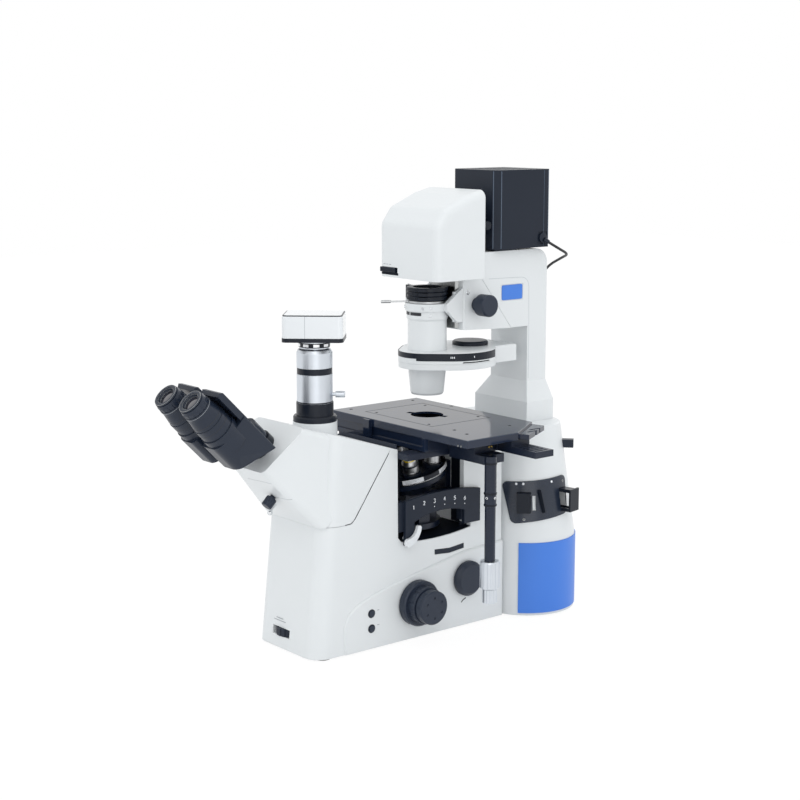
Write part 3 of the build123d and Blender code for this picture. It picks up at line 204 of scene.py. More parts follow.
# Stand: the seam and the window's floor are given in Y and Z
SIDE_X, FRONT_Y = 74.8, -257
BUTTON_Y, BUTTONS = -164, {"upper": 54.3, "lower": 32.4}
STEM_X, STEM_ALONG, STEM_RADIUS, STEM_OFFSETS = -5.1, 340.5, 1.5, (-38, -46, -54)
BALL_RADIUS = 4
NECK_LINES = (
    ([(-21.6, -303, 251.3), (15.8, -305.5, 254), (39.7, -305.7, 254.9)], (0, 1, 0)),
    ([(13.6, -283, 228.7), (40, -283.5, 231), (52, -283, 232)], (-0.3, 1, 0)),
)
SEAM_X = 80
SEAM = [(-206.7, 187.7), (-196.5, 188.4), (-189.5, 193.2), (-172.6, 216.4), (-155.6, 240.6),
        (-139.2, 263.3), (-128.6, 278.2)]
# Places of the dark sheets of painted shade inside the stand's window: its floor, back, front and
# side walls
WINDOW_FLOOR = ((-105, 147.6), (-42, 143.6), (24, 149.6))
WINDOW_HALF, WALL_HALF, WALL_Y, WALL_FOOT, WALL_TOP = 70.4, 61.6, 25.2, 150, 260
SIDE_WALL_X, SIDE_WALL_Y = 61.5, 10.8
CARRIAGE_HALF = 26
FRONT_WALL = (-WALL_HALF, -102.6, 148), (WALL_HALF, -102.2, 266)

# Filter panel: a place and a direction for each notch and screw
PANEL_NOTCHES = (((80.2, 106.3, 202.1), (0.54, -0.83, 0.14)),
                 ((88.4, 112.8, 202.6), (0.66, -0.73, 0.14)),
                 ((108.3, 151.7, 204.1), (0.98, -0.11, 0.14)))
PANEL_SCREWS = (((107, 175.6, 201.5), (0.96, 0.24, 0.14)),
                ((95.1, 108.8, 150), (0.70, -0.70, 0.15)))
FIN_LOW, FIN_HIGH = (110.4, 134.6, 160), (105.6, 129, 193.5)
FIN_OUT, FIN_STEPS, FIN_RADIUS = (0.9, -0.42, 0.14), (0, 2.2), 2.6

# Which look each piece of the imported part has
LOOK_OF = {
    "White paint": ["main_casting", "pillar_arm", "arm_front"],
    "White cover": ["head_cover", "rear_housing", "lamp_hood"],
    "Lens paint": ["condenser_carrier", "condenser_body"],
    "Blue panel": ["rear_panel_blue"],
    "Rubber": ["rubber_feet"],
    "Panel black": ["filter_panel"],
    "Black plastic": ["rear_sockets", "rear_block", "field_lever", "lead_gland",
                      "lead_plug", "cube_housing", "side_strip", "thumb_wheel"],
    "Knob black": ["condenser_knobs", "light_path_knob", "coarse_knobs", "fine_knobs",
                   "side_dial", "button_upper", "button_lower"],
    # The filter slides take this darker black: painted shade that shows them sunk in the lighter
    # panel.
    "Black metal": ["filter_slide_front", "filter_slide_back", "lamp_tube", "condenser_turret",
                    "filter_ring_1", "filter_ring_2", "filter_ring_3", "port_ring", "tube_hub",
                    "nosepiece"],
    "Lamp black": ["lamphouse"],
    "Tube black": ["tube_box_right", "tube_box_left", "eyepiece_right", "eyepiece_left",
                   "diopter_right", "diopter_left"],
    "Stage black": ["stage_top", "stage_insert"],
    "Anodised": ["stage_base", "stage_middle", "stage_rack", "stage_column", "focus_carriage",
                 "cube_turret"],
    "Silver": ["camera_adapter", "stage_knob_x", "stage_knob_y"],
    "Rail metal": ["condenser_rail"],
    "Objective metal": ["aperture_lever"],
    "Camera shell": ["camera_body", "turret_lever"],
}


# Settings that a user may change
def paint(name, about, value):
    """A colour setting."""
    return FloatVectorProperty(name=name, description=about, default=value, subtype="COLOR",
                               size=3, min=0, max=1)


def metres(name, about, value, low, high):
    """A length setting in metres."""
    return FloatProperty(name=name, description=about, default=value, min=low, max=high,
                         unit="LENGTH")


class MicroscopeColours(bpy.types.PropertyGroup):
    """Colours of the main surfaces."""
    white: paint("White paint", "Paint of the stand and covers", (0.76, 0.78, 0.79))
    blue: paint("Blue", "Rear panel and badge", (0.055, 0.21, 0.72))
    black: paint("Black", "Knobs and plastic", (0.012, 0.018, 0.032))
    anodised: paint("Anodised", "Stage plates", (0.011, 0.019, 0.042))
    silver: paint("Silver", "Bare turned metal", (0.66, 0.70, 0.75))


class MicroscopeSizes(bpy.types.PropertyGroup):
    """Sizes that the looks depend on."""
    lens: FloatProperty(name="Lens", description="Focal length of the view", default=73.62,
                        min=20, max=200, subtype="DISTANCE_CAMERA")
    soft_edge: metres("Soft edge", "Width of the rounding on hard edges", 0.0006, 0, 0.005)
    lead_diameter: metres("Lead diameter", "Lamp lead across its skin", 0.004, 0.001, 0.01)
    digit_height: metres("Digit height", "Height of the plate's numbers", 0.0056, 0.001, 0.02)
    floor_half: metres("Floor", "Half the width of the floor", 6.0, 2, 20)


# Shapes: each gives points in millimetres and faces
def unit(ways):
    """The same directions at length one."""
    ways = np.asarray(ways, float)
    return ways / np.maximum(np.linalg.norm(ways, axis=-1, keepdims=True), LEAST_LENGTH)


def basis(axis):
    """Two directions across an axis, the second as near to up as it can be, and the axis."""
    w = unit(axis)
    nearly_upright = abs(w[2]) > 0.95
    u = unit(np.cross((0.0, 1.0, 0.0) if nearly_upright else (0.0, 0.0, 1.0), w))
    return u, np.cross(w, u), w


def circle(angles):
    """Flat points at the given angles of a circle of radius one."""
    return np.column_stack([np.cos(angles), np.sin(angles)])


def across(place, axis, points, height):
    """Flat points laid across an axis at a height along it from place."""
    u, v, w = basis(axis)
    return np.asarray(place) + np.asarray(points) @ (u, v) + height * w


def through(rings):
    """A form through rings of equally many points, with a flat face on both ends."""
    rings = np.asarray(rings, float)
    rows, count = rings.shape[:2]
    faces = []
    for a in range(0, (rows - 1) * count, count):
        for c in range(count):
            d = (c + 1) % count
            faces.append((a + c, a + d, a + count + d, a + count + c))
    faces.append(tuple(reversed(range(count))))
    faces.append(tuple(range((rows - 1) * count, rows * count)))
    return rings.reshape(-1, 3), faces


def strip(edges):
    """A long bar of four sides, from the points along its four edges."""
    return through(np.stack(edges, axis=1))


def turned(place, axis, rings, count=64, shape=None):
    """A turned form: each ring is (radius, height) along the axis from place.

    shape(angles, radius) may multiply the radius round the ring, as for ribs and hexagons.
    """
    angles = np.linspace(0, 2 * math.pi, count, endpoint=False)
    rows = []
    for radius, height in rings:
        r = np.full(count, max(radius, LEAST_RADIUS))
        if shape is not None:
            r = r * shape(angles, radius)
        rows.append(across(place, axis, r[:, None] * circle(angles), height))
    return through(rows)


def plate(place, axis, outline, depth):
    """A flat plate: outline points across the axis, from a little below place to depth above."""
    return through([across(place, axis, outline, height) for height in (-SINK, depth)])


def rounded(width, height, radius, steps=5):
    """Outline of a rectangle about the middle with round corners."""
    points = []
    for k, (sx, sy) in enumerate(((1, 1), (-1, 1), (-1, -1), (1, -1))):
        for i in range(steps + 1):
            a = math.pi / 2 * (k + i / steps)
            points.append((sx * (width / 2 - radius) + radius * math.cos(a),
                           sy * (height / 2 - radius) + radius * math.sin(a)))
    return points


def ribbon(place, axis, line, width):
    """A thin flat band of one width along a line drawn across the axis."""
    line = np.array(line, float)
    step = unit(np.gradient(line, axis=0))
    side = np.stack([-step[:, 1], step[:, 0]], axis=1) * width / 2
    return strip([across(place, axis, line + offset, height) for offset, height in (
        (side, -SINK), (side, LIFT), (-side, LIFT), (-side, -SINK))])


def swept(line, radius, count):
    """A bar along a line of points, its ring carried without twist."""
    line = np.array(line, float)
    angles = np.linspace(0, 2 * math.pi, count, endpoint=False)
    ways = unit(np.gradient(line, axis=0))
    u = basis(ways[0])[0]
    rings = []
    for point, w in zip(line, ways):
        u = unit(u - (u @ w) * w)
        rings.append(point + radius * circle(angles) @ (u, np.cross(w, u)))
    return through(rings)


def rim_patch(place, axis, radius, z0, z1, start, end, depth, steps=18):
    """A curved plate on a round rim, between two heights and two angles in degrees."""
    rim = circle(np.radians(np.linspace(start, end, steps)))
    inner, outer = radius - SINK, radius + depth
    return strip([across(place, axis, r * rim, z)
                  for r, z in ((inner, z0), (outer, z0), (outer, z1), (inner, z1))])


def hoops(place, axis, spots, height, depth, steps):
    """Thin bands all the way round an axis, each from its (radius, height)."""
    return [rim_patch(place, axis, r, z, z + height, 0, 360, depth, steps) for r, z in spots]


def laid(nodes, line, way, width, lift=LIFT, steps=8):
    """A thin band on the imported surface: points of a line are thrown along way onto nodes.

    Each run of the line is cut into steps. A point that meets no surface is left out.
    """
    trees = [surface_of(node) for node in nodes]
    way = Vector(way).normalized()
    line = np.array(line, float)
    points = [start + (end - start) * t for start, end in zip(line, line[1:])
              for t in np.arange(steps) / steps]
    hits = [first_hit(trees, point, way) for point in points + [line[-1]]]
    spots, normals = (np.array(found) for found in zip(*[hit for hit in hits if hit]))
    side = unit(np.cross(np.gradient(spots, axis=0), normals)) * width / 2
    return strip([spots + side - SINK * normals, spots + side + lift * normals,
                  spots - side + lift * normals, spots - side - SINK * normals])


def surface_of(node):
    """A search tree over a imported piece's faces."""
    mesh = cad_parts[node].data
    return BVHTree.FromPolygons([v.co for v in mesh.vertices],
                                [poly.vertices[:] for poly in mesh.polygons])


def first_hit(trees, point, way):
    """Where a ray that starts a little outside meets the nearest of the surfaces."""
    start = Vector(point) * MM - way * RAY_BACK * MM
    hits = [hit for hit in (tree.ray_cast(start, way) for tree in trees) if hit[0] is not None]
    if not hits:
        return None
    spot, normal, _, _ = min(hits, key=lambda hit: hit[3])
    return np.array(spot) / MM, np.array(normal)


def screw(place, axis, radius, rise=0.8):
    """A socket-head screw: a low turned head with a six-sided hole."""
    def six(angles, r):
        if r > 0.6 * radius:
            return np.ones_like(angles)
        return math.cos(math.pi / 6) / np.cos((angles % (math.pi / 3)) - math.pi / 6)

    rings = [(radius, -0.4), (radius, rise * 0.7), (radius * 0.85, rise), (radius * 0.55, rise),
             (radius * 0.5, -0.1), (0, -0.1)]
    return turned(place, axis, rings, 36, six)


def block(lo, hi):
    """A plain block between two corners."""
    verts = [(x, y, z) for x in (lo[0], hi[0]) for y in (lo[1], hi[1]) for z in (lo[2], hi[2])]
    faces = [(0, 1, 3, 2), (4, 6, 7, 5), (0, 4, 5, 1), (2, 3, 7, 6), (0, 2, 6, 4), (1, 5, 7, 3)]
    return np.array(verts, float), faces


def arc(cx, cy, r, start, end, steps=14):
    """Points on part of a circle, angles in degrees."""
    return [(cx + r * math.cos(math.radians(t)), cy + r * math.sin(math.radians(t)))
            for t in np.linspace(start, end, steps)]


def arc_through(first, middle, last, steps):
    """Points on the smooth curve of second order through three points of a plane."""
    points = []
    for t in np.linspace(0, 1, steps):
        ends = (1 - t) * (1 - 2 * t), t * (2 * t - 1)
        points.append(tuple(ends[0] * a + 4 * t * (1 - t) * b + ends[1] * c
                            for a, b, c in zip(first, middle, last)))
    return points


def linked(name, data):
    """A new object in the scene."""
    made = bpy.data.objects.new(name, data)
    bpy.context.collection.objects.link(made)
    return made


def add_piece(name, parts, look, body="stand"):
    """One object from parts of (points in millimetres, faces), riding on a body."""
    points, faces, first = [], [], 0
    for verts, polys in parts:
        points.append(np.asarray(verts, float) * MM)
        faces += [tuple(i + first for i in poly) for poly in polys]
        first += len(verts)
    mesh = bpy.data.meshes.new(name)
    mesh.from_pydata(np.vstack(points).tolist(), [], faces)
    mesh.validate()
    mesh.materials.append(bpy.data.materials[look])
    mesh.shade_smooth()
    mesh.set_sharp_from_angle(angle=SHARP_ANGLE)
    made = linked(name, mesh)
    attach(made, body)
    return made


# Places on the object
def head_point(x, offset, along):
    """A point given on the eyepiece tubes' own axes."""
    return np.array((x, S45 * (offset - along), S45 * (offset + along)))


def nose_point(x, y, z):
    """A point given on the nosepiece's own axes."""
    c, s = math.cos(NOSE_TILT), math.sin(NOSE_TILT)
    return np.array((x, NOSE_Y + y * c - z * s, NOSE_Z + y * s + z * c))


def camera_point(x, y, z):
    """A point given on the camera's own axes."""
    c, s = math.cos(CAMERA_TURN), math.sin(CAMERA_TURN)
    return np.array((x * c + y * s, PORT_Y - x * s + y * c, z))


def slab_edge(angles, grow):
    """Points round the condenser's slab: a small round front that runs into a wide round."""
    points = []
    for t in angles:
        wide = SLAB_TANGENT < t or t < -180 - SLAB_TANGENT
        y, r = (SLAB_WIDE_Y, SLAB_WIDE) if wide else (0.0, SLAB_SMALL)
        points += arc(0.0, y, r + grow, t, t, 1)
    return np.array(points)


def slab_strip(start, end, z0, z1, thick, steps=60):
    """A band on the side of the condenser's slab between two angles and two heights."""
    angles = np.linspace(start, end, steps)
    return strip([np.column_stack([slab_edge(angles, grow), np.full(steps, z)])
                  for grow, z in ((-SINK, z0), (thick, z0), (thick, z1), (-SINK, z1))])


# Surfaces
def fill(tree, node, values=(), links=()):
    """Gives a node's inputs their values and their links from outputs."""
    for key, value in dict(values).items():
        node.inputs[key].default_value = value
    for key, source in dict(links).items():
        tree.links.new(source, node.inputs[key])


def node_of(tree, kind, values=(), links=(), **settings):
    """A new node with its settings, its inputs' values and their links."""
    node = tree.nodes.new("ShaderNode" + kind)
    for key, value in settings.items():
        setattr(node, key, value)
    fill(tree, node, values, links)
    return node


def noise_of(tree, source, scale, detail):
    """A noise texture read at the given coordinates."""
    node = node_of(tree, "TexNoise", {"Scale": scale, "Detail": detail}, {"Vector": source})
    return node.outputs["Fac"]


def ranged(tree, source, low, high):
    """Maps the middle of a noise onto low to high."""
    values = {"From Min": NOISE_LOW, "From Max": NOISE_HIGH, "To Min": low, "To Max": high}
    return node_of(tree, "MapRange", values, {"Value": source}).outputs["Result"]


def seen(tree):
    """One for rays that the camera, a reflection or a clear piece sends, zero for others."""
    path = node_of(tree, "LightPath")
    share = path.outputs["Is Camera Ray"]
    for kind in ("Is Transmission Ray", "Is Glossy Ray"):
        links = {0: share, 1: path.outputs[kind]}
        share = node_of(tree, "Math", links=links, operation="MAXIMUM").outputs["Value"]
    return share


def blended(tree, share, first, second, kind):
    """Leads a blend of two shaders into a new output of the given kind."""
    links = {"Fac": share, 1: first.outputs[0], 2: second.outputs[0]}
    mix = node_of(tree, "MixShader", links=links)
    node_of(tree, kind, links={"Surface": mix.outputs[0]})


def make_look(name, colour, roughness, metallic=0.0, mottle=0.03, gloss_spread=0.04, grain=0.1,
              grain_scale=1500.0, coat=0.0, edge=True, stretch=(1, 1, 1), specular=0.5):
    """A surface whose colour, gloss and height vary with noise fixed to the object."""
    sizes = bpy.context.scene.microscope_sizes
    made = bpy.data.materials.new(name)
    made.use_nodes = True
    tree = made.node_tree
    object_space = node_of(tree, "TexCoord").outputs["Object"]
    turn = node_of(tree, "Mapping", {"Scale": stretch}, {"Vector": object_space})
    broad = noise_of(tree, turn.outputs["Vector"], MOTTLE_SCALE, detail=3.0)
    fine = noise_of(tree, turn.outputs["Vector"], grain_scale, detail=2.0)
    dark, light = ([min(1, c * share) for c in colour] + [1] for share in (1 - mottle, 1 + mottle))
    blend = node_of(tree, "Mix", {"A": dark, "B": light}, {"Factor": broad}, data_type="RGBA")
    rough = ranged(tree, fine, roughness - gloss_spread, roughness + gloss_spread)
    bump = node_of(tree, "Bump", {"Strength": grain, "Distance": GRAIN_DEPTH}, {"Height": fine})
    if edge:
        soft = node_of(tree, "Bevel", {"Radius": sizes.soft_edge}, samples=4)
        tree.links.new(soft.outputs["Normal"], bump.inputs["Normal"])
    fill(tree, tree.nodes["Principled BSDF"],
         {"Metallic": metallic, "Coat Weight": coat, "Coat Roughness": COAT_ROUGHNESS,
          "Specular IOR Level": specular},
         {"Base Color": blend.outputs["Result"], "Roughness": rough,
          "Normal": bump.outputs["Normal"]})
    return made


class MICROSCOPE_OT_looks(bpy.types.Operator):
    """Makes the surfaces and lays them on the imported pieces"""
    bl_idname = "microscope.looks"
    bl_label = "Surfaces"

    def execute(self, context):
        c = context.scene.microscope_colours
        make_look("White paint", c.white, 0.38, coat=0.15, grain=0.05, mottle=0.012)
        make_look("White cover", c.white, 0.36, coat=0.12, grain=0.04, mottle=0.012)
        make_look("Lens paint", c.white, 0.34, coat=0.2, grain=0.04)
        make_look("Blue panel", c.blue, 0.42, grain=0.05)
        make_look("Rubber", (0.02, 0.02, 0.02), 0.8, mottle=0.2, grain=0.4)
        for name, share, roughness, mottle, grain, specular in (
                ("Black plastic", 1.0, 0.4, 0.12, 0.15, 0.28),
                ("Knob black", 1.35, 0.45, 0.1, 0.25, 0.4),
                ("Black metal", 0.6, 0.3, 0.1, 0.08, 0.28),
                ("Lamp black", 0.9, 0.4, 0.08, 0.2, 0.24),
                ("Tube black", 1.2, 0.33, 0.08, 0.12, 0.36),
                # Panel black is lighter and glossier than the other blacks: its lighter colour
                # paints the panel's sheen.
                ("Panel black", 1.3, 0.26, 0.08, 0.05, 0.5)):
            make_look(name, [x * share for x in c.black], roughness, mottle=mottle, grain=grain,
                      specular=specular)
        make_look("Stage black", c.anodised, 0.1, mottle=0.1, grain=0.02, gloss_spread=0.02,
                  specular=0.42)
        make_look("Anodised", [x * 0.75 for x in c.anodised], 0.3, mottle=0.1, specular=0.4)
        make_look("Objective metal", (0.5, 0.51, 0.52), 0.33, metallic=1.0, mottle=0.05)
        # A half-bright copy of the black: painted shade in the stand's window, in the hood's slot
        # and on the panel's fin, and the dark joint round the stage insert.
        make_look("Shade and joint black", [x * 0.5 for x in c.black], 0.6, mottle=0.1, grain=0.2,
                  specular=0.1, edge=False)
        make_look("Silver", c.silver, 0.36, metallic=1.0, grain=0.06, stretch=(1, 1, 6),
                  grain_scale=700.0)
        make_look("Rail metal", (0.33, 0.34, 0.34), 0.3, metallic=1.0, mottle=0.08,
                  stretch=(1, 1, 0.05), grain_scale=900.0)
        make_look("Bright metal", (0.74, 0.76, 0.78), 0.2, metallic=1.0, mottle=0.04)
        make_look("Camera shell", (0.80, 0.82, 0.84), 0.18, coat=0.5, mottle=0.01, grain=0.01)
        for name, tint, roughness, mottle in (
                ("Marking white", (0.85, 0.87, 0.9), 0.4, 0.05),
                ("Marking grey", (0.34, 0.36, 0.38), 0.5, 0.15),
                # Panel line: grey for the arm panel's inset edge, with the shade along that edge
                # painted in.
                ("Panel line and shade", (0.55, 0.58, 0.6), 0.5, 0.05),
                # Sheen line: a colour for painted highlights along edges.
                ("Sheen line", (0.07, 0.1, 0.15), 0.3, 0.1),
                ("Marking black", (0.02, 0.022, 0.028), 0.5, 0.1)):
            make_look(name, tint, roughness, mottle=mottle, edge=False)
        make_look("Gold", (0.85, 0.6, 0.18), 0.22, metallic=1.0, mottle=0.08)
        for name, tint in RING_TINTS.items():
            make_look(name, tint, 0.35, mottle=0.05)
        make_look("Lens glass", (0.012, 0.01, 0.02), 0.04, mottle=0.2, grain=0.0, coat=1.0,
                  gloss_spread=0.01, edge=False, specular=0.8)
        make_look("Lead skin", (0.014, 0.014, 0.017), 0.45, mottle=0.2, edge=False)
        for look, nodes in LOOK_OF.items():
            for node in nodes:
                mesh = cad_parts[node].data
                mesh.materials.clear()
                mesh.materials.append(bpy.data.materials[look])
        return {"FINISHED"}


class MICROSCOPE_OT_stage(bpy.types.Operator):
    """Sets the view, the white surroundings, the floor and the lights"""
    bl_idname = "microscope.stage"
    bl_label = "View and light"

    def execute(self, context):
        scene = context.scene
        scene.view_settings.view_transform = "Standard"
        data = bpy.data.cameras.new("View")
        data.lens = scene.microscope_sizes.lens
        data.sensor_width = SENSOR_WIDTH
        data.clip_end = VIEW_END
        scene.camera = self.faced("View", data, CAMERA_PLACE, CAMERA_AIM)
        self.surroundings(scene)
        floor = self.floor(context)
        lights = [self.light(name, *values) for name, values in LIGHTS.items()]
        return {"FINISHED"}

    def faced(self, name, data, place, aim):
        """A view or light at a place, turned to face a point."""
        made = linked(name, data)
        made.location = place
        made.rotation_mode = "QUATERNION"
        made.rotation_quaternion = (Vector(aim) - Vector(place)).to_track_quat("-Z", "Y")
        return made

    def surroundings(self, scene):
        """Plain white where it is seen, a little cooler and softer in the light it gives."""
        world = bpy.data.worlds.new("Surroundings")
        scene.world = world
        world.use_nodes = True
        tree = world.node_tree
        tree.nodes.clear()
        soft = node_of(tree, "Background", {"Color": SOFT_COLOUR, "Strength": SOFT_STRENGTH})
        white = node_of(tree, "Background", {"Color": (1, 1, 1, 1), "Strength": 1.0})
        blended(tree, seen(tree), soft, white, "OutputWorld")

    def floor(self, context):
        """A pale floor that stays near white where it is seen and keeps a faint shadow."""
        half = context.scene.microscope_sizes.floor_half
        mesh = bpy.data.meshes.new("Floor")
        corners = [(-half, -half, 0), (half, -half, 0), (half, half, 0), (-half, half, 0)]
        mesh.from_pydata(corners, [], [(0, 1, 2, 3)])
        made = linked("Floor", mesh)
        look = bpy.data.materials.new("Floor white")
        look.use_nodes = True
        tree = look.node_tree
        tree.nodes.clear()
        matt = node_of(tree, "BsdfDiffuse", {"Color": FLOOR_COLOUR})
        glow = node_of(tree, "Emission", {"Strength": FLOOR_GLOW})
        share = node_of(tree, "Math", {1: FLOOR_GLOW_SHARE}, {0: seen(tree)}, operation="MULTIPLY")
        blended(tree, share.outputs["Value"], matt, glow, "OutputMaterial")
        mesh.materials.append(look)
        return made

    def light(self, name, place, size, power):
        """A square soft light that faces the object."""
        data = bpy.data.lights.new(name, "AREA")
        data.shape = "SQUARE"
        data.size = size
        data.energy = power
        return self.faced(name, data, place, LIGHT_AIM)


class MICROSCOPE_OT_lead(bpy.types.Operator):
    """Lays the lamp lead: a smooth curve through the route's listed points"""
    bl_idname = "microscope.lead"
    bl_label = "Lamp lead"

    def execute(self, context):
        size = context.scene.microscope_sizes.lead_diameter
        data = bpy.data.curves.new("Lamp_lead", "CURVE")
        data.dimensions = "3D"
        line = data.splines.new("NURBS")
        line.points.add(len(LEAD_POINTS) - 1)
        for point, (x, y, z) in zip(line.points, LEAD_POINTS):
            point.co = (x * MM, y * MM, z * MM, 1)
        line.order_u = 3
        line.use_endpoint_u = True
        line.resolution_u = 12
        data.bevel_depth = size / 2
        data.bevel_resolution = 4
        data.use_fill_caps = True
        data.materials.append(bpy.data.materials["Lead skin"])
        made = linked("Lamp_lead", data)
        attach(made, "stand")
        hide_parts("lead")
        return {"FINISHED"}


class MICROSCOPE_OT_eyepieces(bpy.types.Operator):
    """Adds eye lenses, rims and seams: turned forms on the two eyepiece axes"""
    bl_idname = "microscope.eyepieces"
    bl_label = "Eyepiece lenses"

    def execute(self, context):
        lens = [(LENS_RADIUS + 0.2, LENS_HEIGHT - 0.4)]
        lens += [(LENS_RADIUS * math.sin(t), LENS_HEIGHT + LENS_RISE * math.cos(t))
                 for t in np.linspace(math.pi / 2, 0, 12)]
        for side, name in ((1, "right"), (-1, "left")):
            body = "eye_" + name
            base = head_point(side * EYE_HALF, EYE_OFFSET, 0)
            add_piece("Eye_lens_" + name, [turned(base, EYE_AXIS, lens)], "Lens glass", body)
            add_piece("Eye_rim_" + name, [turned(base, EYE_AXIS, EYE_RIM)], "Tube black", body)
            for piece, (look, *sizes) in EYE_HOOPS.items():
                add_piece(piece + name, hoops(base, EYE_AXIS, *sizes), look, body)
            marks = [rim_patch(base, EYE_AXIS, EYE_MARK_RADIUS, EYE_MARK_LOW, EYE_MARK_HIGH,
                               a, a + 5, 0.3, 4) for a in EYE_MARK_TURNS]
            add_piece("Eye_marks_" + name, marks, "Marking grey", body)
        return {"FINISHED"}


class MICROSCOPE_OT_number_plate(bpy.types.Operator):
    """Adds the plate's six numbers and its dots: flat bands along drawn strokes"""
    bl_idname = "microscope.number_plate"
    bl_label = "Numbers"

    def execute(self, context):
        height = context.scene.microscope_sizes.digit_height / MM
        parts = []
        for strokes, (y, z) in zip(self.strokes(), NUMBER_PLACES):
            for line in strokes:
                sized = [((a - DIGIT_SHARE / 2) * height, (b - 0.5) * height) for a, b in line]
                parts.append(ribbon((NUMBER_FACE, y, z), RIGHT, sized, STROKE_WIDTH))
        for y, z in NUMBER_PLACES[2:]:
            parts.append(turned((NUMBER_FACE, y, z - DOT_DROP), RIGHT,
                                [(DOT_RADIUS, -SINK), (DOT_RADIUS, 0.1)], 16))
        add_piece("Plate_numbers", parts, "Marking white")
        return {"FINISHED"}

    def strokes(self):
        """Strokes of the numbers one to six in a box DIGIT_SHARE wide and 1 high."""
        return [
            [[(0.12, 0.78), (0.34, 0.98), (0.34, 0.5), (0.34, 0.0)]],
            [arc(0.3, 0.72, 0.26, 165, -40) + [(0.3, 0.3), (0.05, 0.04)],
             [(0.02, 0.05), (0.3, 0.05), (0.6, 0.05)]],
            [arc(0.28, 0.75, 0.23, 150, -90), arc(0.28, 0.27, 0.26, 90, -150)],
            [[(0.42, 0.0), (0.42, 0.5), (0.42, 1.0)], [(0.42, 1.0), (0.2, 0.65), (0.0, 0.28)],
             [(0.0, 0.28), (0.3, 0.28), (0.6, 0.28)]],
            [[(0.55, 0.95), (0.3, 0.95), (0.1, 0.95)], [(0.12, 0.95), (0.1, 0.75), (0.08, 0.55)],
             arc(0.26, 0.32, 0.28, 130, -140)],
            [arc(0.3, 0.28, 0.25, 0, 360, 24), arc(0.62, 0.3, 0.58, 95, 180)],
        ]


class MICROSCOPE_OT_nosepiece(bpy.types.Operator):
    """Adds scale plates on the nosepiece's rim and finer objectives: turned, ribbed forms"""
    bl_idname = "microscope.nosepiece"
    bl_label = "Nosepiece and objectives"

    def execute(self, context):
        body = "nosepiece_turret"
        centre = nose_point(0, 0, 0)
        turns = [360 / SEAT_COUNT * i for i in range(SEAT_COUNT)]
        edge = hoops(centre, NOSE_AXIS, [(NOSE_RADIUS, 1.7)], 0.8, 0.3, 96)
        add_piece("Nose_edge", edge, "Bright metal", body)
        plates = [rim_patch(centre, NOSE_AXIS, NOSE_RADIUS, SCALE_LOW, SCALE_HIGH, t + SCALE_START,
                            t + SCALE_END, 0.4) for t in turns]
        add_piece("Nose_scale_plates", plates, "Marking white", body)
        first = SCALE_START + 4
        marks = [rim_patch(centre, NOSE_AXIS, NOSE_RADIUS + 0.3, z, z + 0.5, t + first,
                           t + first + span, 0.18, 8) for t in turns for z, span in SCALE_LINES]
        add_piece("Nose_scale_marks", marks, "Marking grey", body)
        metal, dark, rings = [], [], {look: [] for look in RING_TINTS}
        for i, length in enumerate(OBJECTIVE_LENGTHS):
            place, axis = self.seat(turns[i])
            tip = SEAT_HEIGHT + length
            metal.append(turned(place, axis, self.profile(tip)))
            dark.append(turned(place, axis, [(3.3, tip - 1.1), (0.5, tip - 0.8)], 32))
            grip = [(GRIP_RADIUS, tip - 19.4), (GRIP_RADIUS + 0.2, tip - 19.1),
                    (GRIP_RADIUS + 0.2, tip - 16.9), (GRIP_RADIUS, tip - 16.6)]
            dark.append(turned(place, axis, grip, 128, self.ribs))
            ring = [(9.4, tip - 10.4), (9.7, tip - 10.2), (9.7, tip - 8.8), (9.4, tip - 8.6)]
            rings[RING_LOOKS[i % len(RING_LOOKS)]].append(turned(place, axis, ring, 48))
        chrome = add_piece("Objective_bodies", metal, "Objective metal", body)
        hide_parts("objectives")
        add_piece("Objective_grips", dark, "Black metal", body)
        for look, parts in rings.items():
            add_piece("Objective_" + look.split()[0].lower(), parts, look, body)
        return {"FINISHED"}

    def seat(self, turn):
        """Place and direction of one objective: a seat tilted out, turned round the nosepiece."""
        t = math.radians(turn)
        out = np.array((-math.sin(t), math.cos(t), 0.0))
        base = SEAT_RADIUS * out
        way = math.sin(NOSE_TILT) * out + np.array((0, 0, math.cos(NOSE_TILT)))
        origin = nose_point(*base)
        return origin, nose_point(*(base + way)) - origin

    def profile(self, tip):
        """Rings of one objective from its seat to its tip."""
        foot = SEAT_HEIGHT
        return [(11.8, foot), (12, foot + 0.6), (12, foot + 2.5), (11.6, foot + 3),
                (11.6, tip - 20), (12.2, tip - 19.5), (12.2, tip - 16.5), (11.2, tip - 15.4),
                (9.8, tip - 12.6), (9.5, tip - 12), (9.5, tip - 6.4), (5.8, tip - 0.4),
                (5.2, tip), (3.6, tip), (3.2, tip - 0.9)]

    def ribs(self, angles, radius):
        """Square ribs round a grip."""
        return 1 + GRIP_WAVE * np.sign(np.sin(angles * GRIP_RIBS))


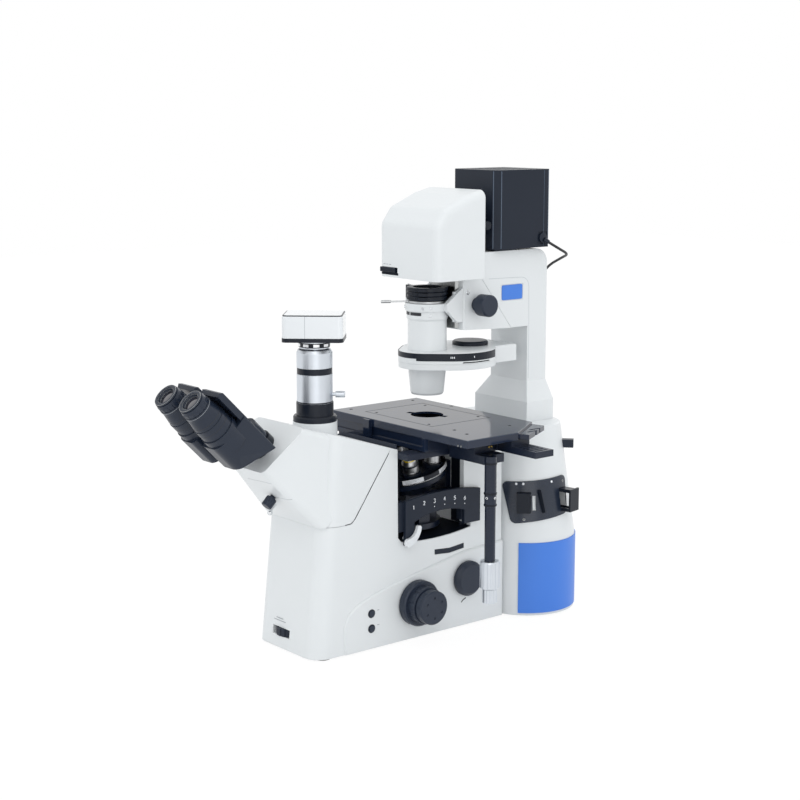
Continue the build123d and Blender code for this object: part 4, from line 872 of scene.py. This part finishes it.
class MICROSCOPE_OT_stage_details(bpy.types.Operator):
    """Adds the stage's screws, painted highlights along its edges and rod fittings: turned heads
    and thin plates
    """
    bl_idname = "microscope.stage_details"
    bl_label = "Stage fittings"

    def execute(self, context):
        dark = [screw((x, y, STAGE_TOP), UP, 2.3, 0.25) for x, y in INSERT_SCREWS]
        dark += [screw((x, y, STAGE_TOP), UP, 2.6, 0.3) for x, y in PLATE_SCREWS]
        add_piece("Stage_screws", dark, "Black metal", "stage_x")
        add_piece("Insert_outline", self.insert_outline(), "Shade and joint black", "stage_x")
        # Light bars just under the top's front and right edges: painted highlights.
        low, high = STAGE_TOP - 1.0, STAGE_TOP - 0.4
        shine = [block((-119.5, STAGE_FRONT, low), (184.6, STAGE_FRONT + 0.6, high)),
                 block((STAGE_RIGHT - 0.6, STAGE_FRONT + 0.4, low), (STAGE_RIGHT, 9.4, high))]
        add_piece("Stage_edge_highlight", shine, "Sheen line", "stage_x")
        gold = [screw(place, RIGHT, 1.6) for place in GOLD_SCREWS]
        add_piece("Stage_gold_screws", gold, "Gold", "stage_y")
        add_piece("Outrigger_lip", [block(*OUTRIGGER_LIP)], "Anodised", "stage_y")
        add_piece("Rack_cheek", [block(*RACK_CHEEK)], "Anodised", "stage_x")
        front = [screw((x, STAGE_FRONT - 0.2, FRONT_SCREW_Z), FRONT, 1.5, 0.7)
                 for x in FRONT_SCREWS_X]
        add_piece("Stage_front_screws", front, "Rail metal", "stage_x")
        screws = [self.rod_screw(turn) for turn in ROD_SCREW_TURNS]
        add_piece("Rod_screws", screws, "Bright metal", "stage_y")
        rings = [turned((ROD_X, ROD_Y, z), UP, [(ROD_RADIUS, 0), (ROD_RADIUS + 1.2, 0.4),
                                                (ROD_RADIUS + 1.2, 2.6), (ROD_RADIUS, 3.0)])
                 for z in ROD_RINGS]
        add_piece("Rod_rings", rings, "Black metal", "stage_y")
        return {"FINISHED"}

    def insert_outline(self):
        """Four thin dark bars over the joint round the insert, as wide as twice the gap."""
        lo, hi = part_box("stage_insert")
        (x0, y0), (x1, y1) = (np.array(lo[:2]) / MM, np.array(hi[:2]) / MM)
        gap, low, high = INSERT_GAP, STAGE_TOP - 0.6, STAGE_TOP + 0.06
        bars = [block((x0 - gap, y - gap, low), (x1 + gap, y + gap, high)) for y in (y0, y1)]
        return bars + [block((x - gap, y0, low), (x + gap, y1, high)) for x in (x0, x1)]

    def rod_screw(self, turn):
        """A clamp screw in the hanging drive's rod, turned in degrees from the front."""
        x, y = math.sin(math.radians(turn)), -math.cos(math.radians(turn))
        out = ROD_RADIUS + 0.3
        return screw((ROD_X + out * x, ROD_Y + out * y, ROD_SCREW_Z), (x, y, 0), 2.0)


class MICROSCOPE_OT_condenser(bpy.types.Operator):
    """Adds the condenser's band, marks, ribs and screws: strips on round rims, turned heads"""
    bl_idname = "microscope.condenser"
    bl_label = "Condenser fittings"

    def execute(self, context):
        body, middle = "condenser", (0, 0, 0)
        band = [slab_strip(*reach, 0.7) for reach in SLAB_BAND]
        add_piece("Slab_band", band, "Black metal", body)
        cover = [slab_strip(*reach, 0.45) for reach in SLAB_COVER]
        add_piece("Slab_cover", cover, "Lens paint", body)
        marks = [slab_strip(a, a - 1.0, SLAB_STEP + 1.0, SLAB_STEP + 3.6, 0.85, 3)
                 for a in SLAB_MARKS]
        add_piece("Slab_marks", marks, "Marking white", body)
        add_piece("Slab_cap", [turned((0, CAP_Y, 0), UP, CAP_RINGS, 96)], "Black metal", body)
        for k, z in enumerate(FILTER_RING_HEIGHTS, start=1):
            ribs = [rim_patch(middle, UP, FILTER_RING_RADIUS, z + 1.2, z + 4.6, a, a + 3.0, 0.5, 3)
                    for a in np.arange(150, 330, 6)]
            add_piece("Filter_ribs_%d" % k, ribs, "Black metal", "swing_filter_%d" % k)
        bolts = [screw((x, y, COLLAR_BOLT_Z), (x, y, 0), 2.2, 1.2) for x, y in COLLAR_BOLTS]
        bolts += [screw((RIM_BOLT_RADIUS * math.cos(t), RIM_BOLT_RADIUS * math.sin(t), RIM_BOLT_Z),
                        UP, 1.6, 0.6) for t in (2.6, 3.9, 5.2)]
        bolts.append(screw(LOW_BOLT, (*LOW_BOLT[:2], 0), 2.0, 1.0))
        add_piece("Carrier_screws", bolts, "Bright metal", body)
        windows = [rim_patch(middle, UP, COLLAR_RADIUS, COLLAR_LOW, COLLAR_HIGH, a, b, 0.15, 12)
                   for a, b in COLLAR_WINDOWS]
        add_piece("Collar_windows", windows, "Marking black", body)
        return {"FINISHED"}


class MICROSCOPE_OT_arm_details(bpy.types.Operator):
    """Adds the arm's badge and screw, its outline line with painted shade, painted shade in and
    under the hood's slot, the hood's marks, and painted highlights on the lamp's edges
    """
    bl_idname = "microscope.arm_details"
    bl_label = "Arm and hood marks"

    def execute(self, context):
        badge = plate(BADGE_PLACE, RIGHT, rounded(*BADGE_SIZE), 1.0)
        add_piece("Arm_badge", [badge], "Blue panel")
        add_piece("Arm_screw", [screw(ARM_SCREW, RIGHT, 3.4, 1.2)], "Bright metal")
        add_piece("Arm_outline", [self.outline()], "Panel line and shade")
        # Painted shade in and under the hood's slot
        add_piece("Hood_slot_shade", self.slot(), "Shade and joint black")
        marks = [plate((x, HOOD_FRONT, HOOD_MARKS_Z), FRONT, rounded(5.0, 0.9, 0.4, 2), 0.08)
                 for x in HOOD_MARKS_X]
        add_piece("Hood_marks", marks, "Marking grey")
        ribs = [plate((x, LEVER_FRONT, LEVER_Z), FRONT, rounded(0.9, 5.4, 0.3, 2), 0.4)
                for x in np.arange(-58, -29, 2.6)]
        add_piece("Field_lever_ribs", ribs, "Black metal", "field_stop")
        # Lighter lines along the lamphouse's edges: painted highlights.
        edges = [self.lamp_highlight(x, y, (-1, 1, 0), 1.1) for x, y in ((42.2, 89.4), (50.6, 97.8))]
        edges += [self.lamp_highlight(LAMP_SIDE, y, (-1, 0, 0), width)
                  for y, width in ((183.0, 0.6), (191.6, 1.0))]
        add_piece("Lamp_edge_highlights", edges, "Sheen line")
        return {"FINISHED"}

    def outline(self):
        """A fine grey line over the arm, round its corner and down the pillar: the inset edge of
        the arm's side panel, with the shade step at that edge painted in.
        """
        corner = [(ARM_SIDE, y, z) for y, z in arc(*ARM_CORNER, 90, 0, 7)]
        line = [(ARM_SIDE, 84, 505.5), (ARM_SIDE, 120, 504.8)] + corner
        line += [(ARM_SIDE, 166.2, 420), (ARM_SIDE, 166.2, 350)]
        return laid(["pillar_arm"], line, (-1, 0, 0), 0.8)

    def slot(self):
        """Painted shade: dark sheets in the hood's slot, and a dark strip under it that goes round
        the corner.
        """
        half, rise = 21.8, 4.0
        back = [(-half, -rise), (half, -rise), (half, rise), (-half, rise)]
        side, front, end = HOOD_CORNER[0] - 1.0, HOOD_FRONT + 0.2, SLOT_END + 0.2
        return [plate((-44.1, SLOT_BACK, LEVER_Z), FRONT, back, 0.2),
                block((side, front, SLOT_LOW), (SLOT_END, SLOT_BACK, SLOT_LOW + SHEET)),
                block((side, front, SLOT_HIGH - SHEET), (SLOT_END, SLOT_BACK, SLOT_HIGH)),
                block((end - SHEET, front, SLOT_LOW), (end, SLOT_BACK, SLOT_HIGH)),
                plate((-37.0, HOOD_FRONT, 515.0), FRONT, rounded(34.0, 3.4, 0.4, 2), 0.15),
                rim_patch(HOOD_CORNER, UP, HOOD_CORNER_RADIUS, 513.3, 516.7, 180, 270, 0.15)]

    def lamp_highlight(self, x, y, way, width):
        """A fine upright line of painted highlight along an edge of the lamphouse."""
        return laid(["lamphouse"], [(x, y, LAMP_LOW), (x, y, LAMP_HIGH)], way, width, 0.1, 3)


class MICROSCOPE_OT_camera_port(bpy.types.Operator):
    """Adds the adapter's black bands and pads and the camera's seam and edges"""
    bl_idname = "microscope.camera_port"
    bl_label = "Camera port"

    def execute(self, context):
        place = (0, PORT_Y, 0)
        bands = [turned(place, UP, rings, 96) for rings in ADAPTER_BANDS]
        add_piece("Adapter_band", bands, "Black metal")
        pads = [rim_patch(place, UP, PAD_RADIUS, PAD_LOW, PAD_HIGH, a, a + PAD_ANGLE, 0.5, 6)
                for a in range(0, 360, 40)]
        add_piece("Adapter_pads", pads, "Bright metal")
        way = (math.cos(CAMERA_TURN), -math.sin(CAMERA_TURN), 0)
        seam = plate(camera_point(*CAMERA_SEAM), way, rounded(0.5, 32.0, 0.2, 2), 0.05)
        add_piece("Camera_seam", [seam], "Marking grey")
        shoe = [self.footprint(*sizes) for sizes in (CAMERA_SHOE, CAMERA_CROWN)]
        add_piece("Camera_shoe", shoe, "Black metal")
        add_piece("Camera_lid", [self.footprint(*CAMERA_LID)], "Camera shell")
        return {"FINISHED"}

    def footprint(self, half_x, half_y, radius, z0, z1):
        """A flat plate with the camera's round-cornered outline."""
        flat = rounded(2 * half_x, 2 * half_y, radius)
        return through([[camera_point(x, y, z) for x, y in flat] for z in (z0, z1)])


class MICROSCOPE_OT_side_marks(bpy.types.Operator):
    """Adds the marks, seams and rings of the stand, and dark sheets of painted shade inside its
    window
    """
    bl_idname = "microscope.side_marks"
    bl_label = "Side marks"

    def execute(self, context):
        marks = [plate((SIDE_X, -152.0, z), RIGHT, rounded(4.2, 1.0, 0.4, 2), 0.08)
                 for z in (57.5, 36.0)]
        marks.append(plate((71.2, -30.0, 133.5), RIGHT, rounded(34, 0.5, 0.2, 2), 0.08))
        marks += [plate((-16.0, FRONT_Y, z), FRONT, rounded(width, 0.7, 0.2, 2), 0.3)
                  for z, width in ((44.5, 16), (41.0, 28))]
        add_piece("Side_marks", marks, "Marking grey")
        bend = [(-4.5, -2.6), (-1, 0.4), (4.5, 2.6)]
        arrow = ribbon((SIDE_X, 7.9, 41.0), RIGHT, bend, 1.8)
        add_piece("Dial_mark", [arrow], "Marking black")
        for name, z in BUTTONS.items():
            ring = turned((SIDE_X, BUTTON_Y, z), RIGHT, [(5.2, -0.2), (6.2, -0.1), (6.2, 0.35),
                                                         (5.3, 0.5), (5.2, 0.2)], 48)
            add_piece("Button_ring_" + name, [ring], "Black metal")
        stem = [head_point(STEM_X, offset, STEM_ALONG) for offset in STEM_OFFSETS]
        ball = [(BALL_RADIUS * math.sin(t), -BALL_RADIUS * math.cos(t))
                for t in np.linspace(0.05, 3.09, 14)]
        knob = [swept(stem, STEM_RADIUS, 20), turned(stem[-1], (0, S45, S45), ball, 32)]
        add_piece("Neck_ball", knob, "Bright metal")
        skin = ["head_cover", "main_casting"]
        lines = [laid(skin, line, way, 0.5) for line, way in NECK_LINES]
        add_piece("Neck_lines", lines, "Marking grey")
        seam = laid(skin, [(SEAM_X, y, z) for y, z in SEAM], (-1, 0, 0), 0.9, 0.08)
        add_piece("Head_seam", [seam], "Marking black")
        # Painted shade inside the stand's window
        add_piece("Window_painted_shade", self.window_shade(), "Shade and joint black")
        return {"FINISHED"}

    def window_shade(self):
        """Dark sheets of painted shade on the floor and round the inside of the stand's window."""
        floor = arc_through(*WINDOW_FLOOR, 14)
        sheet = strip([[(x, y, z + up) for y, z in floor] for x, up in (
            (-WINDOW_HALF, 0.0), (WINDOW_HALF, 0.0), (WINDOW_HALF, 0.25), (-WINDOW_HALF, 0.25))])
        back = [block((x0, WALL_Y, WALL_FOOT), (x1, WALL_Y + SHEET, WALL_TOP))
                for x0, x1 in ((-WALL_HALF, -CARRIAGE_HALF), (CARRIAGE_HALF, WALL_HALF))]
        sides = [block((x - SHEET / 2, SIDE_WALL_Y, WALL_FOOT), (x + SHEET / 2, WALL_Y, WALL_TOP))
                 for x in (-SIDE_WALL_X, SIDE_WALL_X)]
        return [sheet] + back + [block(*FRONT_WALL)] + sides


class MICROSCOPE_OT_filter_panel(bpy.types.Operator):
    """Adds the filter panel's screws and notches, and its fin in a darker black as painted shade:
    turned heads and plates
    """
    bl_idname = "microscope.filter_panel"
    bl_label = "Filter panel"

    def execute(self, context):
        notches = [plate(spot, way, rounded(3.2, 3.4, 0.8, 2), 0.2) for spot, way in PANEL_NOTCHES]
        add_piece("Panel_notches", notches, "Marking white")
        screws = [screw(spot, way, 2.0) for spot, way in PANEL_SCREWS]
        add_piece("Panel_screws", screws, "Rail metal")
        # The fin takes a darker black than the panel: painted shade that sets it apart.
        low, high, out = (np.array(point) for point in (FIN_LOW, FIN_HIGH, FIN_OUT))
        bars = [swept([low + k * out, (low + high) / 2 + k * out, high + k * out], FIN_RADIUS, 4)
                for k in FIN_STEPS]
        add_piece("Panel_fin", bars, "Shade and joint black")
        return {"FINISHED"}


class MICROSCOPE_PT_sidebar(bpy.types.Panel):
    """Lists the steps and settings in the 3D view's sidebar"""
    bl_idname = "MICROSCOPE_PT_sidebar"
    bl_label = "Inverted microscope"
    bl_space_type = "VIEW_3D"
    bl_region_type = "UI"
    bl_category = "Microscope"

    def draw(self, context):
        for step in STEPS:
            self.layout.operator(step.bl_idname)
        for group in (context.scene.microscope_colours, context.scene.microscope_sizes):
            for key in group.__annotations__:
                self.layout.prop(group, key)


STEPS = (
    MICROSCOPE_OT_looks,
    MICROSCOPE_OT_stage,
    MICROSCOPE_OT_lead,
    MICROSCOPE_OT_eyepieces,
    MICROSCOPE_OT_number_plate,
    MICROSCOPE_OT_nosepiece,
    MICROSCOPE_OT_stage_details,
    MICROSCOPE_OT_condenser,
    MICROSCOPE_OT_arm_details,
    MICROSCOPE_OT_camera_port,
    MICROSCOPE_OT_side_marks,
    MICROSCOPE_OT_filter_panel,
)
CLASSES = (MicroscopeColours, MicroscopeSizes) + STEPS + (MICROSCOPE_PT_sidebar,)


def register():
    """Registers the classes and the two groups of settings."""
    for cls in CLASSES:
        bpy.utils.register_class(cls)
    bpy.types.Scene.microscope_colours = PointerProperty(type=MicroscopeColours)
    bpy.types.Scene.microscope_sizes = PointerProperty(type=MicroscopeSizes)


def unregister():
    """Takes away what register added."""
    del bpy.types.Scene.microscope_colours
    del bpy.types.Scene.microscope_sizes
    for cls in reversed(CLASSES):
        bpy.utils.unregister_class(cls)


def main():
    """Runs every step in order."""
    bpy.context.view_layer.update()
    register()
    for step in STEPS:
        group, name = step.bl_idname.split(".")
        getattr(getattr(bpy.ops, group), name)()


if __name__ == "__main__":
    main()
